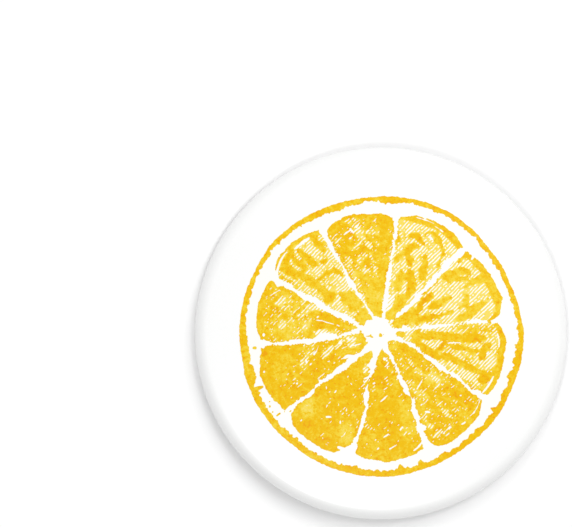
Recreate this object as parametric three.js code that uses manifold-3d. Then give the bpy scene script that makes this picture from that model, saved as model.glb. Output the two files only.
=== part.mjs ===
// A round button magnet, 57 mm across, that holds notes to a refrigerator door. A pressed metal
// button is wrapped in a white printed cover, and a flat magnet is bonded into its back. The print
// on the domed face is a slice of lemon: a thin rind and ten wedges of pulp round a white core.
//
// Units are millimetres. The magnet lies on its back with the printed face up: +Z points out of the
// face, +Y to the top of the print, and the origin is the centre of the magnet's flat underside.

import * as THREE from "three";
import { mergeVertices } from "three/addons/utils/BufferGeometryUtils.js";
import Module from "manifold-3d";

const wasm = await Module();
wasm.setup();

// ------------------------------------------------------------------------- the button's sizes

const BUTTON_DIAMETER = 57.15; // the nominal 2 1/4 inch button
const BUTTON_HEIGHT = 5.7; // from the magnet's underside to the top of the dome
const FACE_EDGE_SLOPE = 5.4; // degrees that the domed face falls at its edge
const FRONT_EDGE_RADIUS = 2.0; // rounding between the face and the side
const BACK_EDGE_RADIUS = 0.9; // rounding between the side and the back
const RIM_HEIGHT = 0.65; // clear space under the rim, which the magnet holds off the door
const COVER_THICKNESS = 0.3; // printed paper and clear film together

const MAGNET_DIAMETER = 50;
const MAGNET_THICKNESS = 1.5;
const MAGNET_EDGE_RADIUS = 0.7; // rounding of the edge that stands out of the back
const RING_HEIGHT = 0.85; // height of the bare metal ring round the magnet
const RING_EDGE_CHAMFER = 0.12; // softening of the ring's outer edge

const COVER_GAP = 0.03; // between the cover and the metal it is stretched over
const SEAT_GAP = 0.15; // between the magnet's side and the wall of its seat
const BOND_THICKNESS = 0.05; // adhesive between the magnet and the floor of its seat

// -------------------------------------------------------------------------- the print's sizes

const FRUIT_CENTRE = new THREE.Vector2(-0.15, -0.32); // middle of the rind's circle
const CORE_CENTRE = new THREE.Vector2(-0.38, 0.6); // where the membranes come together
const RIND_RADIUS = 21.6; // outside of the rind
const RIND_WIDTH = 0.88;
const RIND_WIDTH_SWING = 0.13; // the rind is this much thicker on its thick side, thinner across
const RIND_THICK_SIDE = 260; // degrees, anticlockwise from +X
// Slow waves of the rind's outside: how many go round, how high they are, where one crest lies.
const RIND_WAVES = [
  { count: 2, height: 0.12, crest: -12 },
  { count: 4, height: 0.1, crest: -20 },
  { count: 5, height: 0.11, crest: -8 },
];

const PULP_RADIUS = 19.35; // outer ends of the wedges, measured from FRUIT_CENTRE
const MEMBRANE_WIDTH = 0.6; // white line between two wedges
const CROWN_DROP = 0.5; // how far a wedge's outer end falls from its middle to its sides
const CORNER_POWER = 12; // higher makes the outer corners tighter
const TIP_WIDTH = 0.45; // a wedge ends here where its membranes close in on it

// The membranes, anticlockwise. Each runs straight outwards in its direction, in degrees, and
// passes the core's centre on its clockwise side, at the distance pass. The wedge that follows it
// starts at the distance tip from the core's centre, and its two outer corners, the clockwise one
// first, are rounded down by the distances corners.
const MEMBRANES = [
  { direction: 6, pass: 0.4, tip: 2.0, corners: [1.3, 1.0] },
  { direction: 45, pass: 0.5, tip: 2.05, corners: [0.8, 0.4] },
  { direction: 82, pass: 0.45, tip: 2.0, corners: [0.4, 2.0] },
  { direction: 120, pass: 0.2, tip: 2.05, corners: [0.5, 2.2] },
  { direction: 152, pass: -0.7, tip: 3.2, corners: [1.0, 1.4] },
  { direction: 188, pass: 0.25, tip: 1.4, corners: [0.6, 0.8] },
  { direction: 219.5, pass: -0.75, tip: 3.4, corners: [1.6, 1.8] },
  { direction: 259, pass: 0, tip: 3.2, corners: [0.6, 0.8] },
  { direction: 293, pass: 0, tip: 2.25, corners: [1.1, 0.8] },
  { direction: 326.5, pass: -0.6, tip: 2.6, corners: [1.0, 0.6] },
];

const INK_GAP = 0.05; // between the cover and the ink layer, more than their facets differ
const INK_THICKNESS = 0.1;

// ------------------------------------------------------------------------- how finely it is cut

const TURN_STEPS = 72; // round the axis
const FACE_STEPS = 4; // from the axis to the edge of the dome
const FRONT_EDGE_STEPS = 6;
const BACK_EDGE_STEPS = 4;
const TUCK_STEPS = 2;
const MAGNET_EDGE_STEPS = 3;
const INK_TURN_STEPS = 36;
const INK_FACE_STEPS = 3;
const RIND_STEPS = 90;
const WEDGE_SIDE_STEPS = 4;
const WEDGE_END_STEPS = 14;

// ------------------------------------------------------------------------------ worked-out sizes

const { degToRad } = THREE.MathUtils;
const buttonRadius = BUTTON_DIAMETER / 2;
const edgeSlope = degToRad(FACE_EDGE_SLOPE);
const faceRadius = buttonRadius - FRONT_EDGE_RADIUS * (1 - Math.sin(edgeSlope));
const domeRadius = faceRadius / Math.sin(edgeSlope);
const domeCentre = BUTTON_HEIGHT - domeRadius;
const frontEdgeCentre = new THREE.Vector2(
  buttonRadius - FRONT_EDGE_RADIUS,
  domeCentre + (domeRadius - FRONT_EDGE_RADIUS) * Math.cos(edgeSlope),
);
const backEdgeCentre = new THREE.Vector2(
  buttonRadius - BACK_EDGE_RADIUS,
  RIM_HEIGHT + BACK_EDGE_RADIUS,
);
const magnetRadius = MAGNET_DIAMETER / 2;
const seatRadius = magnetRadius + SEAT_GAP;
const seatFloor = MAGNET_THICKNESS + BOND_THICKNESS;
const ringRadius = backEdgeCentre.x - COVER_THICKNESS - COVER_GAP;
const coreOffset = CORE_CENTRE.clone().sub(FRUIT_CENTRE);

// ----------------------------------------------------------------------------------- profiles
// A profile is a list of points (distance from the axis, height), read from the face to the back.

// Points on an arc. An angle is that of the surface's normal from +Z, in radians.
function arc(centre, radius, from, to, steps) {
  return Array.from({ length: steps + 1 }, (_, i) => {
    const angle = from + ((to - from) * i) / steps;
    return new THREE.Vector2(
      centre.x + radius * Math.sin(angle),
      centre.y + radius * Math.cos(angle),
    );
  });
}

// The domed face, from the axis to its edge, moved inwards by inset.
function faceProfile(inset, steps) {
  return arc(new THREE.Vector2(0, domeCentre), domeRadius - inset, 0, edgeSlope, steps);
}

// The whole outside that the cover wraps, from the axis round to the lowest line of the rim.
function wrapProfile(inset) {
  const frontEdge = arc(
    frontEdgeCentre,
    FRONT_EDGE_RADIUS - inset,
    edgeSlope,
    Math.PI / 2,
    FRONT_EDGE_STEPS,
  );
  const backEdge = arc(
    backEdgeCentre,
    BACK_EDGE_RADIUS - inset,
    Math.PI / 2,
    Math.PI,
    BACK_EDGE_STEPS,
  );
  return [...faceProfile(inset, FACE_STEPS), ...frontEdge.slice(1), ...backEdge];
}

// ------------------------------------------------------------------------- turning and cutting

// Turns a profile round the Z axis.
function turned(profile, steps = TURN_STEPS) {
  return new THREE.LatheGeometry(profile.slice().reverse(), steps).rotateX(Math.PI / 2);
}

function solidOf(geometry) {
  const bare = geometry.clone();
  bare.deleteAttribute("normal");
  bare.deleteAttribute("uv");
  const merged = mergeVertices(bare, 1e-4);
  return new wasm.Manifold(
    new wasm.Mesh({
      numProp: 3,
      vertProperties: merged.getAttribute("position").array,
      triVerts: new Uint32Array(merged.index.array),
    }),
  );
}

function geometryOf(solid) {
  const { vertProperties, triVerts } = solid.getMesh();
  const geometry = new THREE.BufferGeometry();
  geometry.setAttribute("position", new THREE.BufferAttribute(vertProperties, 3));
  geometry.setIndex(new THREE.BufferAttribute(triVerts, 1));
  geometry.computeVertexNormals();
  return geometry;
}

// ------------------------------------------------------------------------------ button and magnet

// The printed cover: stretched over the dome and the side, with its edge turned in at the back.
function coverGeometry() {
  const tuckCentre = new THREE.Vector2(backEdgeCentre.x, RIM_HEIGHT + COVER_THICKNESS);
  const tuck = arc(tuckCentre, COVER_THICKNESS, Math.PI, 1.5 * Math.PI, TUCK_STEPS).slice(1);
  return turned([...wrapProfile(0), ...tuck, ...wrapProfile(COVER_THICKNESS).reverse()]);
}

// The metal button: it fills the cover, and its back shows as a flat ring round the magnet's seat.
function bodyGeometry() {
  const wrapped = wrapProfile(COVER_THICKNESS + COVER_GAP);
  return turned([
    ...wrapped,
    new THREE.Vector2(ringRadius, wrapped.at(-1).y),
    new THREE.Vector2(ringRadius, RING_HEIGHT + RING_EDGE_CHAMFER),
    new THREE.Vector2(ringRadius - RING_EDGE_CHAMFER, RING_HEIGHT),
    new THREE.Vector2(seatRadius, RING_HEIGHT),
    new THREE.Vector2(seatRadius, seatFloor),
    new THREE.Vector2(0, seatFloor),
  ]);
}

function magnetGeometry() {
  const edgeCentre = new THREE.Vector2(magnetRadius - MAGNET_EDGE_RADIUS, MAGNET_EDGE_RADIUS);
  return turned([
    new THREE.Vector2(0, MAGNET_THICKNESS),
    new THREE.Vector2(magnetRadius, MAGNET_THICKNESS),
    ...arc(edgeCentre, MAGNET_EDGE_RADIUS, Math.PI / 2, Math.PI, MAGNET_EDGE_STEPS),
    new THREE.Vector2(0, 0),
  ]);
}

// ------------------------------------------------------------------------------------- the print

function polar(centre, distance, angle) {
  return new THREE.Vector2(
    centre.x + distance * Math.cos(angle),
    centre.y + distance * Math.sin(angle),
  );
}

// How far it is from the core's centre, in the direction angle, to the circle of the given radius
// round the fruit's centre.
function reach(angle, radius) {
  const along = coreOffset.x * Math.cos(angle) + coreOffset.y * Math.sin(angle);
  return -along + Math.sqrt(along * along + radius * radius - coreOffset.lengthSq());
}

// The direction in which a point of a membrane's middle line is seen from the core's centre.
function membraneAngle(index, distance) {
  const { direction, pass } = MEMBRANES[index % MEMBRANES.length];
  const turns = index === MEMBRANES.length ? 2 * Math.PI : 0;
  return degToRad(direction) + turns - Math.asin(pass / distance);
}

// The middle and the half of a wedge's angle, at a distance from the core's centre.
function spread(index, distance) {
  const from = membraneAngle(index, distance);
  const to = membraneAngle(index + 1, distance);
  const half = (to - from) / 2 - Math.asin(MEMBRANE_WIDTH / 2 / distance);
  return { middle: (from + to) / 2, half };
}

// One wedge of pulp, as a closed outline: up one side, round the outer end and down the other.
function wedgeOutline(index) {
  const { corners } = MEMBRANES[index];
  const end = spread(index, PULP_RADIUS);
  const outer = Array.from({ length: WEDGE_END_STEPS + 1 }, (_, i) => {
    const share = Math.sin(Math.PI * (i / WEDGE_END_STEPS - 0.5));
    const angle = end.middle + share * end.half;
    const corner = corners[share < 0 ? 0 : 1] * Math.abs(share) ** CORNER_POWER;
    const drop = CROWN_DROP * share ** 2 + corner;
    return polar(CORE_CENTRE, reach(angle, PULP_RADIUS) - drop, angle);
  });

  let tip = MEMBRANES[index].tip;
  while (2 * tip * spread(index, tip).half < TIP_WIDTH) {
    tip += TIP_WIDTH / 10;
  }
  const side = (sign) => {
    const corner = CORE_CENTRE.distanceTo(sign < 0 ? outer[0] : outer.at(-1));
    return Array.from({ length: WEDGE_SIDE_STEPS }, (_, i) => {
      const distance = tip + (corner - tip) * (i / WEDGE_SIDE_STEPS) ** 2;
      const { middle, half } = spread(index, distance);
      return polar(CORE_CENTRE, distance, middle + sign * half);
    });
  };
  return [...side(-1), ...outer, ...side(1).reverse()];
}

// The inside or the outside of the rind.
function rindOutline(inner) {
  return Array.from({ length: RIND_STEPS }, (_, i) => {
    const angle = (2 * Math.PI * i) / RIND_STEPS;
    let radius = RIND_RADIUS;
    for (const { count, height, crest } of RIND_WAVES) {
      radius += height * Math.cos(count * (angle - degToRad(crest)));
    }
    if (inner) {
      radius -= RIND_WIDTH + RIND_WIDTH_SWING * Math.cos(angle - degToRad(RIND_THICK_SIDE));
    }
    return polar(FRUIT_CENTRE, radius, angle);
  });
}

// A field of ink: the shape's part of a thin layer that follows the domed face.
function inkGeometry(shape) {
  const bottom = faceProfile(-INK_GAP, INK_FACE_STEPS);
  const top = faceProfile(-INK_GAP - INK_THICKNESS, INK_FACE_STEPS);
  const layer = solidOf(turned([...top, ...bottom.reverse()], INK_TURN_STEPS));
  const prism = new THREE.ExtrudeGeometry(shape, { depth: BUTTON_HEIGHT, bevelEnabled: false });
  prism.translate(0, 0, BUTTON_HEIGHT / 2);
  return geometryOf(solidOf(prism).intersect(layer));
}

// ---------------------------------------------------------------------------------- materials

const coverWhite = new THREE.MeshStandardMaterial({ color: 0xfcfcfb, roughness: 0.35 });
const spunMetal = new THREE.MeshStandardMaterial({
  color: 0xd6d7d6,
  roughness: 0.32,
  metalness: 1,
});
const magnetGrey = new THREE.MeshStandardMaterial({ color: 0x404040, roughness: 0.7 });
const lemonInk = new THREE.MeshStandardMaterial({ color: 0xf5cb2d, roughness: 0.4 });

// ----------------------------------------------------------------------------------- assembly

const buttonMagnet = new THREE.Group();
buttonMagnet.name = "button_magnet";

function add(parent, name, geometry, material) {
  const mesh = new THREE.Mesh(geometry, material);
  mesh.name = name;
  parent.add(mesh);
}

add(buttonMagnet, "printed_cover", coverGeometry(), coverWhite);
add(buttonMagnet, "metal_body", bodyGeometry(), spunMetal);
add(buttonMagnet, "magnet_disc", magnetGeometry(), magnetGrey);

const print = new THREE.Group();
print.name = "print";
buttonMagnet.add(print);

const rind = new THREE.Shape(rindOutline(false));
rind.holes.push(new THREE.Path(rindOutline(true).reverse()));
add(print, "print_rind", inkGeometry(rind), lemonInk);

for (const index of MEMBRANES.keys()) {
  const name = `print_wedge_${String(index + 1).padStart(2, "0")}`;
  add(print, name, inkGeometry(new THREE.Shape(wedgeOutline(index))), lemonInk);
}

export default buttonMagnet;
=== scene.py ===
"""A round button magnet whose white face is printed with a slice of lemon.

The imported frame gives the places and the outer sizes. This script turns the cover, the metal back
and the magnet as fine meshes, cuts the printed ink out as thin closed sheets that follow the domed
face, gives each of them its finish, and sets up the floor, the light and the camera.

Lengths are in millimetres until a mesh is written, where they become metres. The print is laid out
in polar places: a distance from the core of the fruit, and a share of the way across a wedge, from
-1 at its clockwise membrane to 1 at the next one.
"""

from __future__ import annotations

import logging
import math
from dataclasses import dataclass
from enum import Enum
from typing import Any, Iterable, Sequence

import bpy
import numpy as np
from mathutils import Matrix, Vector
from mathutils.geometry import delaunay_2d_cdt

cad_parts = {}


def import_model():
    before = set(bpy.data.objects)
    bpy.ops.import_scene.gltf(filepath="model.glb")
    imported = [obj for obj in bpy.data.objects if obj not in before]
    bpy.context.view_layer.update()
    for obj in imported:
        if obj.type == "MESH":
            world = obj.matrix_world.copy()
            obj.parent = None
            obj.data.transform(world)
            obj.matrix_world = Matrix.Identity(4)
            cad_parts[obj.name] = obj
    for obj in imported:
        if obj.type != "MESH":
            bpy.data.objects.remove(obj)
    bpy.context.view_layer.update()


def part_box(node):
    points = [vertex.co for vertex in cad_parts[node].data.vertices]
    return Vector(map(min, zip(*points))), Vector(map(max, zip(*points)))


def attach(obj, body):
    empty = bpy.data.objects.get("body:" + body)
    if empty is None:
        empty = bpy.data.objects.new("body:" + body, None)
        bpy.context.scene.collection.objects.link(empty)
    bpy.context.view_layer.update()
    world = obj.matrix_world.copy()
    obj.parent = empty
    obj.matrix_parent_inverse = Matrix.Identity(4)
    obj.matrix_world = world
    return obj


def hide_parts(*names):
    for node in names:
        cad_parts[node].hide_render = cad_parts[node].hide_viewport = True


log = logging.getLogger("button_magnet")

MM = 0.001
PICTURE_WIDTH = 572
PICTURE_HEIGHT = 527
BUTTON_CENTRE_PX = (381.0, 333.4)
BUTTON_RADIUS_PX = 185.9

SEAT_GAP = 0.15  # between the magnet's side and the wall of its seat
BOND_THICKNESS = 0.05  # adhesive between the magnet and the floor of its seat
FRUIT_CENTRE = (-0.15, -0.32)  # on the printed face

QUARTER = math.pi / 2
TURN = 2 * math.pi
FAR_OUT = -9.0  # the depth of a place that no mark is near
TINY = 1e-9

Point = tuple[float, float]
Place = tuple[float, float] | tuple[float, float, float]  # the third is a share of a width
Colour = tuple[float, float, float]
Array = np.ndarray


# ---------------------------------------------------------------------------------- shader maths


class Wire:
    """The output of a shader node, with Python's operators for its maths."""

    def __init__(self, graph: "Graph", socket: bpy.types.NodeSocket) -> None:
        """Wraps one output.

        Args:
            graph: The material that the node is in.
            socket: The output socket.
        """
        self.graph = graph
        self.socket = socket

    def maths(self, operation: str, *values: "Wire | float") -> "Wire":
        """Adds a Math node.

        Args:
            operation: The Math node's operation.
            *values: Its inputs, in order.

        Returns:
            The node's output.
        """
        inputs = dict(enumerate(values))
        return self.graph.node("ShaderNodeMath", {"operation": operation}, inputs)

    def __add__(self, other: "Wire | float") -> "Wire":
        """Adds."""
        return self.maths("ADD", self, other)

    __radd__ = __add__

    def __sub__(self, other: "Wire | float") -> "Wire":
        """Subtracts."""
        return self.maths("SUBTRACT", self, other)

    def __rsub__(self, other: float) -> "Wire":
        """Subtracts from a number."""
        return self.maths("SUBTRACT", other, self)

    def __mul__(self, other: "Wire | float") -> "Wire":
        """Multiplies."""
        return self.maths("MULTIPLY", self, other)

    __rmul__ = __mul__

    def swing(self, amount: float) -> "Wire":
        """Turns noise round 0.5 into noise round 0 of some strength."""
        return (self - 0.5) * amount

    def step(self, low: float, high: float) -> "Wire":
        """Rises smoothly from 0 at low to 1 at high, or falls where low is the larger.

        Args:
            low: The value that gives 0.
            high: The value that gives 1.

        Returns:
            The share between them.
        """
        settings = {"interpolation_type": "SMOOTHSTEP"}
        flip = low > high
        inputs = {"Value": self, "From Min": min(low, high), "From Max": max(low, high)}
        inputs |= {"To Min": float(flip), "To Max": float(not flip)}
        return self.graph.node("ShaderNodeMapRange", settings, inputs)


class Graph:
    """A material's node tree."""

    def __init__(self, name: str) -> None:
        """Starts an empty material.

        Args:
            name: The material's name.
        """
        self.material = bpy.data.materials.new(name)
        self.material.use_nodes = True
        self.tree = self.material.node_tree
        self.tree.nodes.clear()
        self.places = self.node("ShaderNodeTexCoord", output="Object")

    def node(
        self,
        kind: str,
        settings: dict[str, Any] | None = None,
        inputs: dict[str | int, Any] | None = None,
        output: str | int = 0,
    ) -> Wire:
        """Adds a node.

        Args:
            kind: The node's type.
            settings: Its settings, which are set before its sockets.
            inputs: The value or the wire of each socket that is set.
            output: The output that is wanted.

        Returns:
            That output.
        """
        node = self.tree.nodes.new(kind)
        for name, value in (settings or {}).items():
            setattr(node, name, value)
        for key, value in (inputs or {}).items():
            socket = node.inputs[key]
            if isinstance(value, Wire):
                self.tree.links.new(value.socket, socket)
            elif isinstance(value, tuple) and len(value) < len(socket.default_value):
                socket.default_value = (*value, 1.0)
            else:
                socket.default_value = value
        return Wire(self, node.outputs[output])

    def noise(self, size: float, detail: float = 3.0, roughness: float = 0.6) -> Wire:
        """Smooth noise over the object's own space.

        Args:
            size: The size of its lumps in millimetres.
            detail: How many finer layers it has.
            roughness: How strong the finer layers are.

        Returns:
            A value round 0.5.
        """
        inputs = {"Vector": self.places, "Scale": 1 / (size * MM)}
        inputs |= {"Detail": detail, "Roughness": roughness}
        return self.node("ShaderNodeTexNoise", {}, inputs)

    def lumps(self, size: float) -> Wire:
        """Plainer noise, with hardly any finer layers."""
        return self.noise(size, 1.0, 0.5)

    def blend(
        self, factor: Wire | float, first: Wire | Colour, second: Wire | Colour, way: str = "MIX"
    ) -> Wire:
        """Mixes two colours in one of the Mix node's ways.

        Args:
            factor: How much of the second one there is.
            first: The first colour.
            second: The second one.
            way: The node's blend type.

        Returns:
            The mixed colour.
        """
        settings = {"data_type": "RGBA", "blend_type": way}
        # The node has sockets for numbers and vectors too: those for colours are 6, 7 and output 2.
        inputs = {0: factor, 6: first, 7: second}
        return self.node("ShaderNodeMix", settings, inputs, output=2)

    def axes(self) -> tuple[Wire, Wire, Wire]:
        """Takes the place on the object apart.

        Returns:
            The place along X, Y and Z, in millimetres.
        """
        inputs = {0: self.places, "Scale": 1 / MM}
        scaled = self.node("ShaderNodeVectorMath", {"operation": "SCALE"}, inputs)
        parts = [self.node("ShaderNodeSeparateXYZ", {}, {0: scaled}, output=i) for i in range(3)]
        return parts[0], parts[1], parts[2]

    def away(self, centre: Point) -> Wire:
        """Measures from an upright line.

        Args:
            centre: Where the line crosses the floor.

        Returns:
            The distance, in millimetres.
        """
        x, y, _ = self.axes()
        dx = x - centre[0]
        dy = y - centre[1]
        return self.node("ShaderNodeMath", {"operation": "SQRT"}, {0: dx * dx + dy * dy})

    def bump(self, height: Wire, depth: float) -> Wire:
        """A normal from a height between 0 and 1.

        Args:
            height: The height.
            depth: What 1 stands for, in millimetres.

        Returns:
            The normal.
        """
        inputs = {"Height": height, "Strength": 1.0, "Distance": depth * MM}
        return self.node("ShaderNodeBump", {}, inputs)

    def finish(self, **inputs: Any) -> bpy.types.Material:
        """Ends the material with one Principled shader.

        Args:
            **inputs: The shader's inputs, with _ for each space in their names.

        Returns:
            The material.
        """
        named = {name.replace("_", " "): value for name, value in inputs.items()}
        shader = self.node("ShaderNodeBsdfPrincipled", {}, named)
        output = self.tree.nodes.new("ShaderNodeOutputMaterial")
        self.tree.links.new(shader.socket, output.inputs["Surface"])
        return self.material


# ---------------------------------------------------------------------------------------- finishes


@dataclass(frozen=True)
class CoverFinish:
    """White paper under a clear satin film. Inside the fruit the white is a little warmer."""

    white: Colour = (0.905, 0.908, 0.902)
    pith: Colour = (0.905, 0.912, 0.868)
    pith_centre: Point = FRUIT_CENTRE
    pith_radius: float = 20.9
    pith_blur: float = 0.25
    fibre_size: float = 0.25
    fibre_range: Point = (0.2, 0.8)
    fibre_shade: Colour = (0.975, 0.975, 0.975)
    fibre_light: Colour = (1.0, 1.0, 1.0)
    roughness: float = 0.34
    wear_size: float = 5.0
    wear: float = 0.12
    peel_size: float = 0.9
    peel_depth: float = 0.004
    film: float = 0.25
    film_roughness: float = 0.12

    def material(self) -> bpy.types.Material:
        """Makes the material.

        Returns:
            The material.
        """
        graph = Graph("cover_film")
        fibre = graph.noise(self.fibre_size).step(*self.fibre_range)
        edge = (self.pith_radius + self.pith_blur, self.pith_radius - self.pith_blur)
        paper = graph.blend(graph.away(self.pith_centre).step(*edge), self.white, self.pith)
        shade = graph.blend(fibre, self.fibre_shade, self.fibre_light)
        return graph.finish(
            Base_Color=graph.blend(1.0, paper, shade, "MULTIPLY"),
            Roughness=self.roughness + graph.noise(self.wear_size).swing(self.wear),
            Normal=graph.bump(graph.lumps(self.peel_size), self.peel_depth),
            Coat_Weight=self.film,
            Coat_Roughness=self.film_roughness,
        )


@dataclass(frozen=True)
class InkFinish:
    """Lemon yellow ink with the uneven wash and the orange flecks of watercolour.

    The mesh's own attribute says how thin the wash is; fine mottling is added to it.
    """

    ATTRIBUTE = "wash"

    orange: Colour = (0.80, 0.355, 0.0)
    deep: Colour = (0.812, 0.484, 0.0)
    pale: Colour = (0.843, 0.614, 0.036)
    thin: Colour = (0.868, 0.682, 0.13)
    deep_range: Point = (-0.95, -0.25)
    pale_range: Point = (0.0, 1.2)
    thin_range: Point = (1.1, 2.1)
    mottle_size: float = 2.6
    mottling: float = 1.9
    grain_size: float = 0.75
    grain_roughness: float = 0.85
    graininess: float = 5.2
    fleck_size: float = 0.5
    fleck_range: Point = (0.61, 0.72)
    fleck_depth: float = 1.1
    roughness: float = 0.36
    roughness_swing: float = 0.1
    specular: float = 0.05
    film: float = 0.2
    film_roughness: float = 0.12

    def material(self) -> bpy.types.Material:
        """Makes the material.

        Returns:
            The material.
        """
        graph = Graph("lemon_ink")
        drawn = graph.node("ShaderNodeAttribute", {"attribute_name": self.ATTRIBUTE}, output="Fac")
        mottle = graph.noise(self.mottle_size) - 0.5
        grain = graph.noise(self.grain_size, roughness=self.grain_roughness) - 0.5
        fleck = graph.lumps(self.fleck_size).step(*self.fleck_range)
        wash = drawn + mottle * self.mottling + grain * self.graininess - fleck * self.fleck_depth
        rich = graph.blend(wash.step(*self.deep_range), self.orange, self.deep)
        washed = graph.blend(wash.step(*self.pale_range), rich, self.pale)
        return graph.finish(
            Base_Color=graph.blend(wash.step(*self.thin_range), washed, self.thin),
            Roughness=self.roughness + mottle * self.roughness_swing,
            Specular_IOR_Level=self.specular,
            Coat_Weight=self.film,
            Coat_Roughness=self.film_roughness,
        )


@dataclass(frozen=True)
class MetalFinish:
    """Bare tin-plated steel, pressed smooth, with very faint rings and rubbed places."""

    bright: Colour = (0.66, 0.67, 0.665)
    dull: Colour = (0.62, 0.63, 0.625)
    tarnish_range: Point = (0.3, 0.7)
    ring_pitch: float = 0.11
    ring_detail: float = 2.0
    ring_roughness: float = 0.6
    ring_sweep: float = 0.8
    ring_drop: float = 0.4
    ring_tarnish: float = 0.3
    ring_swing: float = 0.04
    ring_depth: float = 0.002
    rub_size: float = 3.5
    rub_tarnish: float = 0.7
    rub_swing: float = 0.06
    roughness: float = 0.3

    def material(self) -> bpy.types.Material:
        """Makes the material.

        Returns:
            The material.
        """
        graph = Graph("tin_plate")
        radius = graph.away((0.0, 0.0))
        x, y, z = graph.axes()
        sweep = graph.node("ShaderNodeMath", {"operation": "ARCTAN2"}, {0: y, 1: x})
        inputs = {0: radius, 1: sweep * self.ring_sweep, 2: z * self.ring_drop}
        along = graph.node("ShaderNodeCombineXYZ", {}, inputs)
        inputs = {"Vector": along, "Scale": 1 / self.ring_pitch}
        inputs |= {"Detail": self.ring_detail, "Roughness": self.ring_roughness}
        rings = graph.node("ShaderNodeTexNoise", {}, inputs)
        rub = graph.noise(self.rub_size)
        tarnish = rub * self.rub_tarnish + rings * self.ring_tarnish
        return graph.finish(
            Base_Color=graph.blend(tarnish.step(*self.tarnish_range), self.dull, self.bright),
            Metallic=1.0,
            Roughness=self.roughness + rub.swing(self.rub_swing) + rings.swing(self.ring_swing),
            Normal=graph.bump(rings, self.ring_depth),
        )


@dataclass(frozen=True)
class MagnetFinish:
    """Dark grey flexible magnet: dull, with a very fine grain and pale rubbed specks."""

    dark: Colour = (0.031, 0.031, 0.031)
    light: Colour = (0.038, 0.038, 0.038)
    speck: Colour = (0.07, 0.07, 0.07)
    tone_range: Point = (0.3, 0.7)
    grain_size: float = 0.16
    grain_roughness: float = 0.65
    grain_share: float = 0.6
    grain_depth: float = 0.012
    cloud_size: float = 6.0
    cloud_roughness: float = 0.5
    cloud_share: float = 0.4
    cloud_swing: float = 0.15
    speck_size: float = 0.4
    speck_range: Point = (0.72, 0.8)
    speck_strength: float = 0.35
    roughness: float = 0.62
    specular: float = 0.3

    def material(self) -> bpy.types.Material:
        """Makes the material.

        Returns:
            The material.
        """
        graph = Graph("magnet_grey")
        grain = graph.noise(self.grain_size, roughness=self.grain_roughness)
        cloud = graph.noise(self.cloud_size, roughness=self.cloud_roughness)
        specks = graph.lumps(self.speck_size).step(*self.speck_range) * self.speck_strength
        tone = grain * self.grain_share + cloud * self.cloud_share
        base = graph.blend(tone.step(*self.tone_range), self.dark, self.light)
        return graph.finish(
            Base_Color=graph.blend(specks, base, self.speck),
            Roughness=self.roughness + cloud.swing(self.cloud_swing),
            Specular_IOR_Level=self.specular,
            Normal=graph.bump(grain, self.grain_depth),
        )


@dataclass(frozen=True)
class FloorFinish:
    """A plain pale floor."""

    colour: Colour = (0.93, 0.93, 0.93)
    roughness: float = 0.9
    specular: float = 0.1

    def material(self) -> bpy.types.Material:
        """Makes the material.

        Returns:
            The material.
        """
        return Graph("floor_white").finish(
            Base_Color=self.colour,
            Roughness=self.roughness,
            Specular_IOR_Level=self.specular,
        )


# ----------------------------------------------------------------------------------- turned pieces


def arc(centre: Point, radius: float, start: float, end: float, steps: int) -> list[Point]:
    """Points on an arc of a profile.

    Args:
        centre: The distance from the axis and the height of its centre.
        radius: Its radius.
        start: The angle of its first normal from +Z, in radians.
        end: The angle of its last normal.
        steps: How many chords it has.

    Returns:
        The points, as distances from the axis and heights.
    """
    angles = [start + (end - start) * i / steps for i in range(steps + 1)]
    return [
        (centre[0] + radius * math.sin(angle), centre[1] + radius * math.cos(angle))
        for angle in angles
    ]


def turned(
    name: str, stretches: Sequence[list[Point]], shares: Sequence[float], steps: int
) -> bpy.types.Object:
    """Turns a closed profile round the Z axis.

    The profile starts and ends on the axis. Its map is a disc: the start of the profile is at its
    middle, and each stretch takes a ring of it.

    Args:
        name: The object's name.
        stretches: The profile, in order; each stretch goes on where the one before it ends.
        shares: How much of the map each stretch takes.
        steps: How many steps it takes to go round.

    Returns:
        The object.
    """
    profile: list[Point] = []
    reach: list[float] = []
    done = 0.0
    for points, share in zip(stretches, shares):
        lengths = [math.dist(a, b) for a, b in zip(points, points[1:])]
        ahead = np.concatenate([[0.0], np.cumsum(lengths)]) / sum(lengths) * share + done
        first = 1 if profile else 0
        profile += points[first:]
        reach += list(ahead[first:])
        done += share
    angles = TURN * np.arange(steps) / steps
    vertices: list[tuple[float, float, float]] = [(0.0, 0.0, profile[0][1] * MM)]
    for radius, height in profile[1:-1]:
        for angle in angles:
            x = radius * math.cos(angle) * MM
            y = radius * math.sin(angle) * MM
            vertices.append((x, y, height * MM))
    vertices.append((0.0, 0.0, profile[-1][1] * MM))

    def corner(ring: int, turn: int) -> int:
        """The vertex of a ring of the profile at a turn round the axis.

        Args:
            ring: The number of the profile's point.
            turn: The number of the step round.

        Returns:
            The vertex's number.
        """
        if ring == 0:
            return 0
        if ring == len(profile) - 1:
            return len(vertices) - 1
        return 1 + (ring - 1) * steps + turn % steps

    faces: list[tuple[int, ...]] = []
    places: list[Point] = []
    for ring in range(len(profile) - 1):
        for turn in range(steps):
            around = ((ring, turn), (ring + 1, turn), (ring + 1, turn + 1), (ring, turn + 1))
            if ring == 0:
                around = around[:3]
            elif ring == len(profile) - 2:
                around = (around[0], around[1], around[3])
            faces.append(tuple(corner(*step) for step in around))
            for row, column in around:
                angle = TURN * column / steps
                span = 0.5 * reach[row] / done
                places.append((0.5 + span * math.cos(angle), 0.5 + span * math.sin(angle)))
    return solid_mesh(name, vertices, faces, places)


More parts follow.
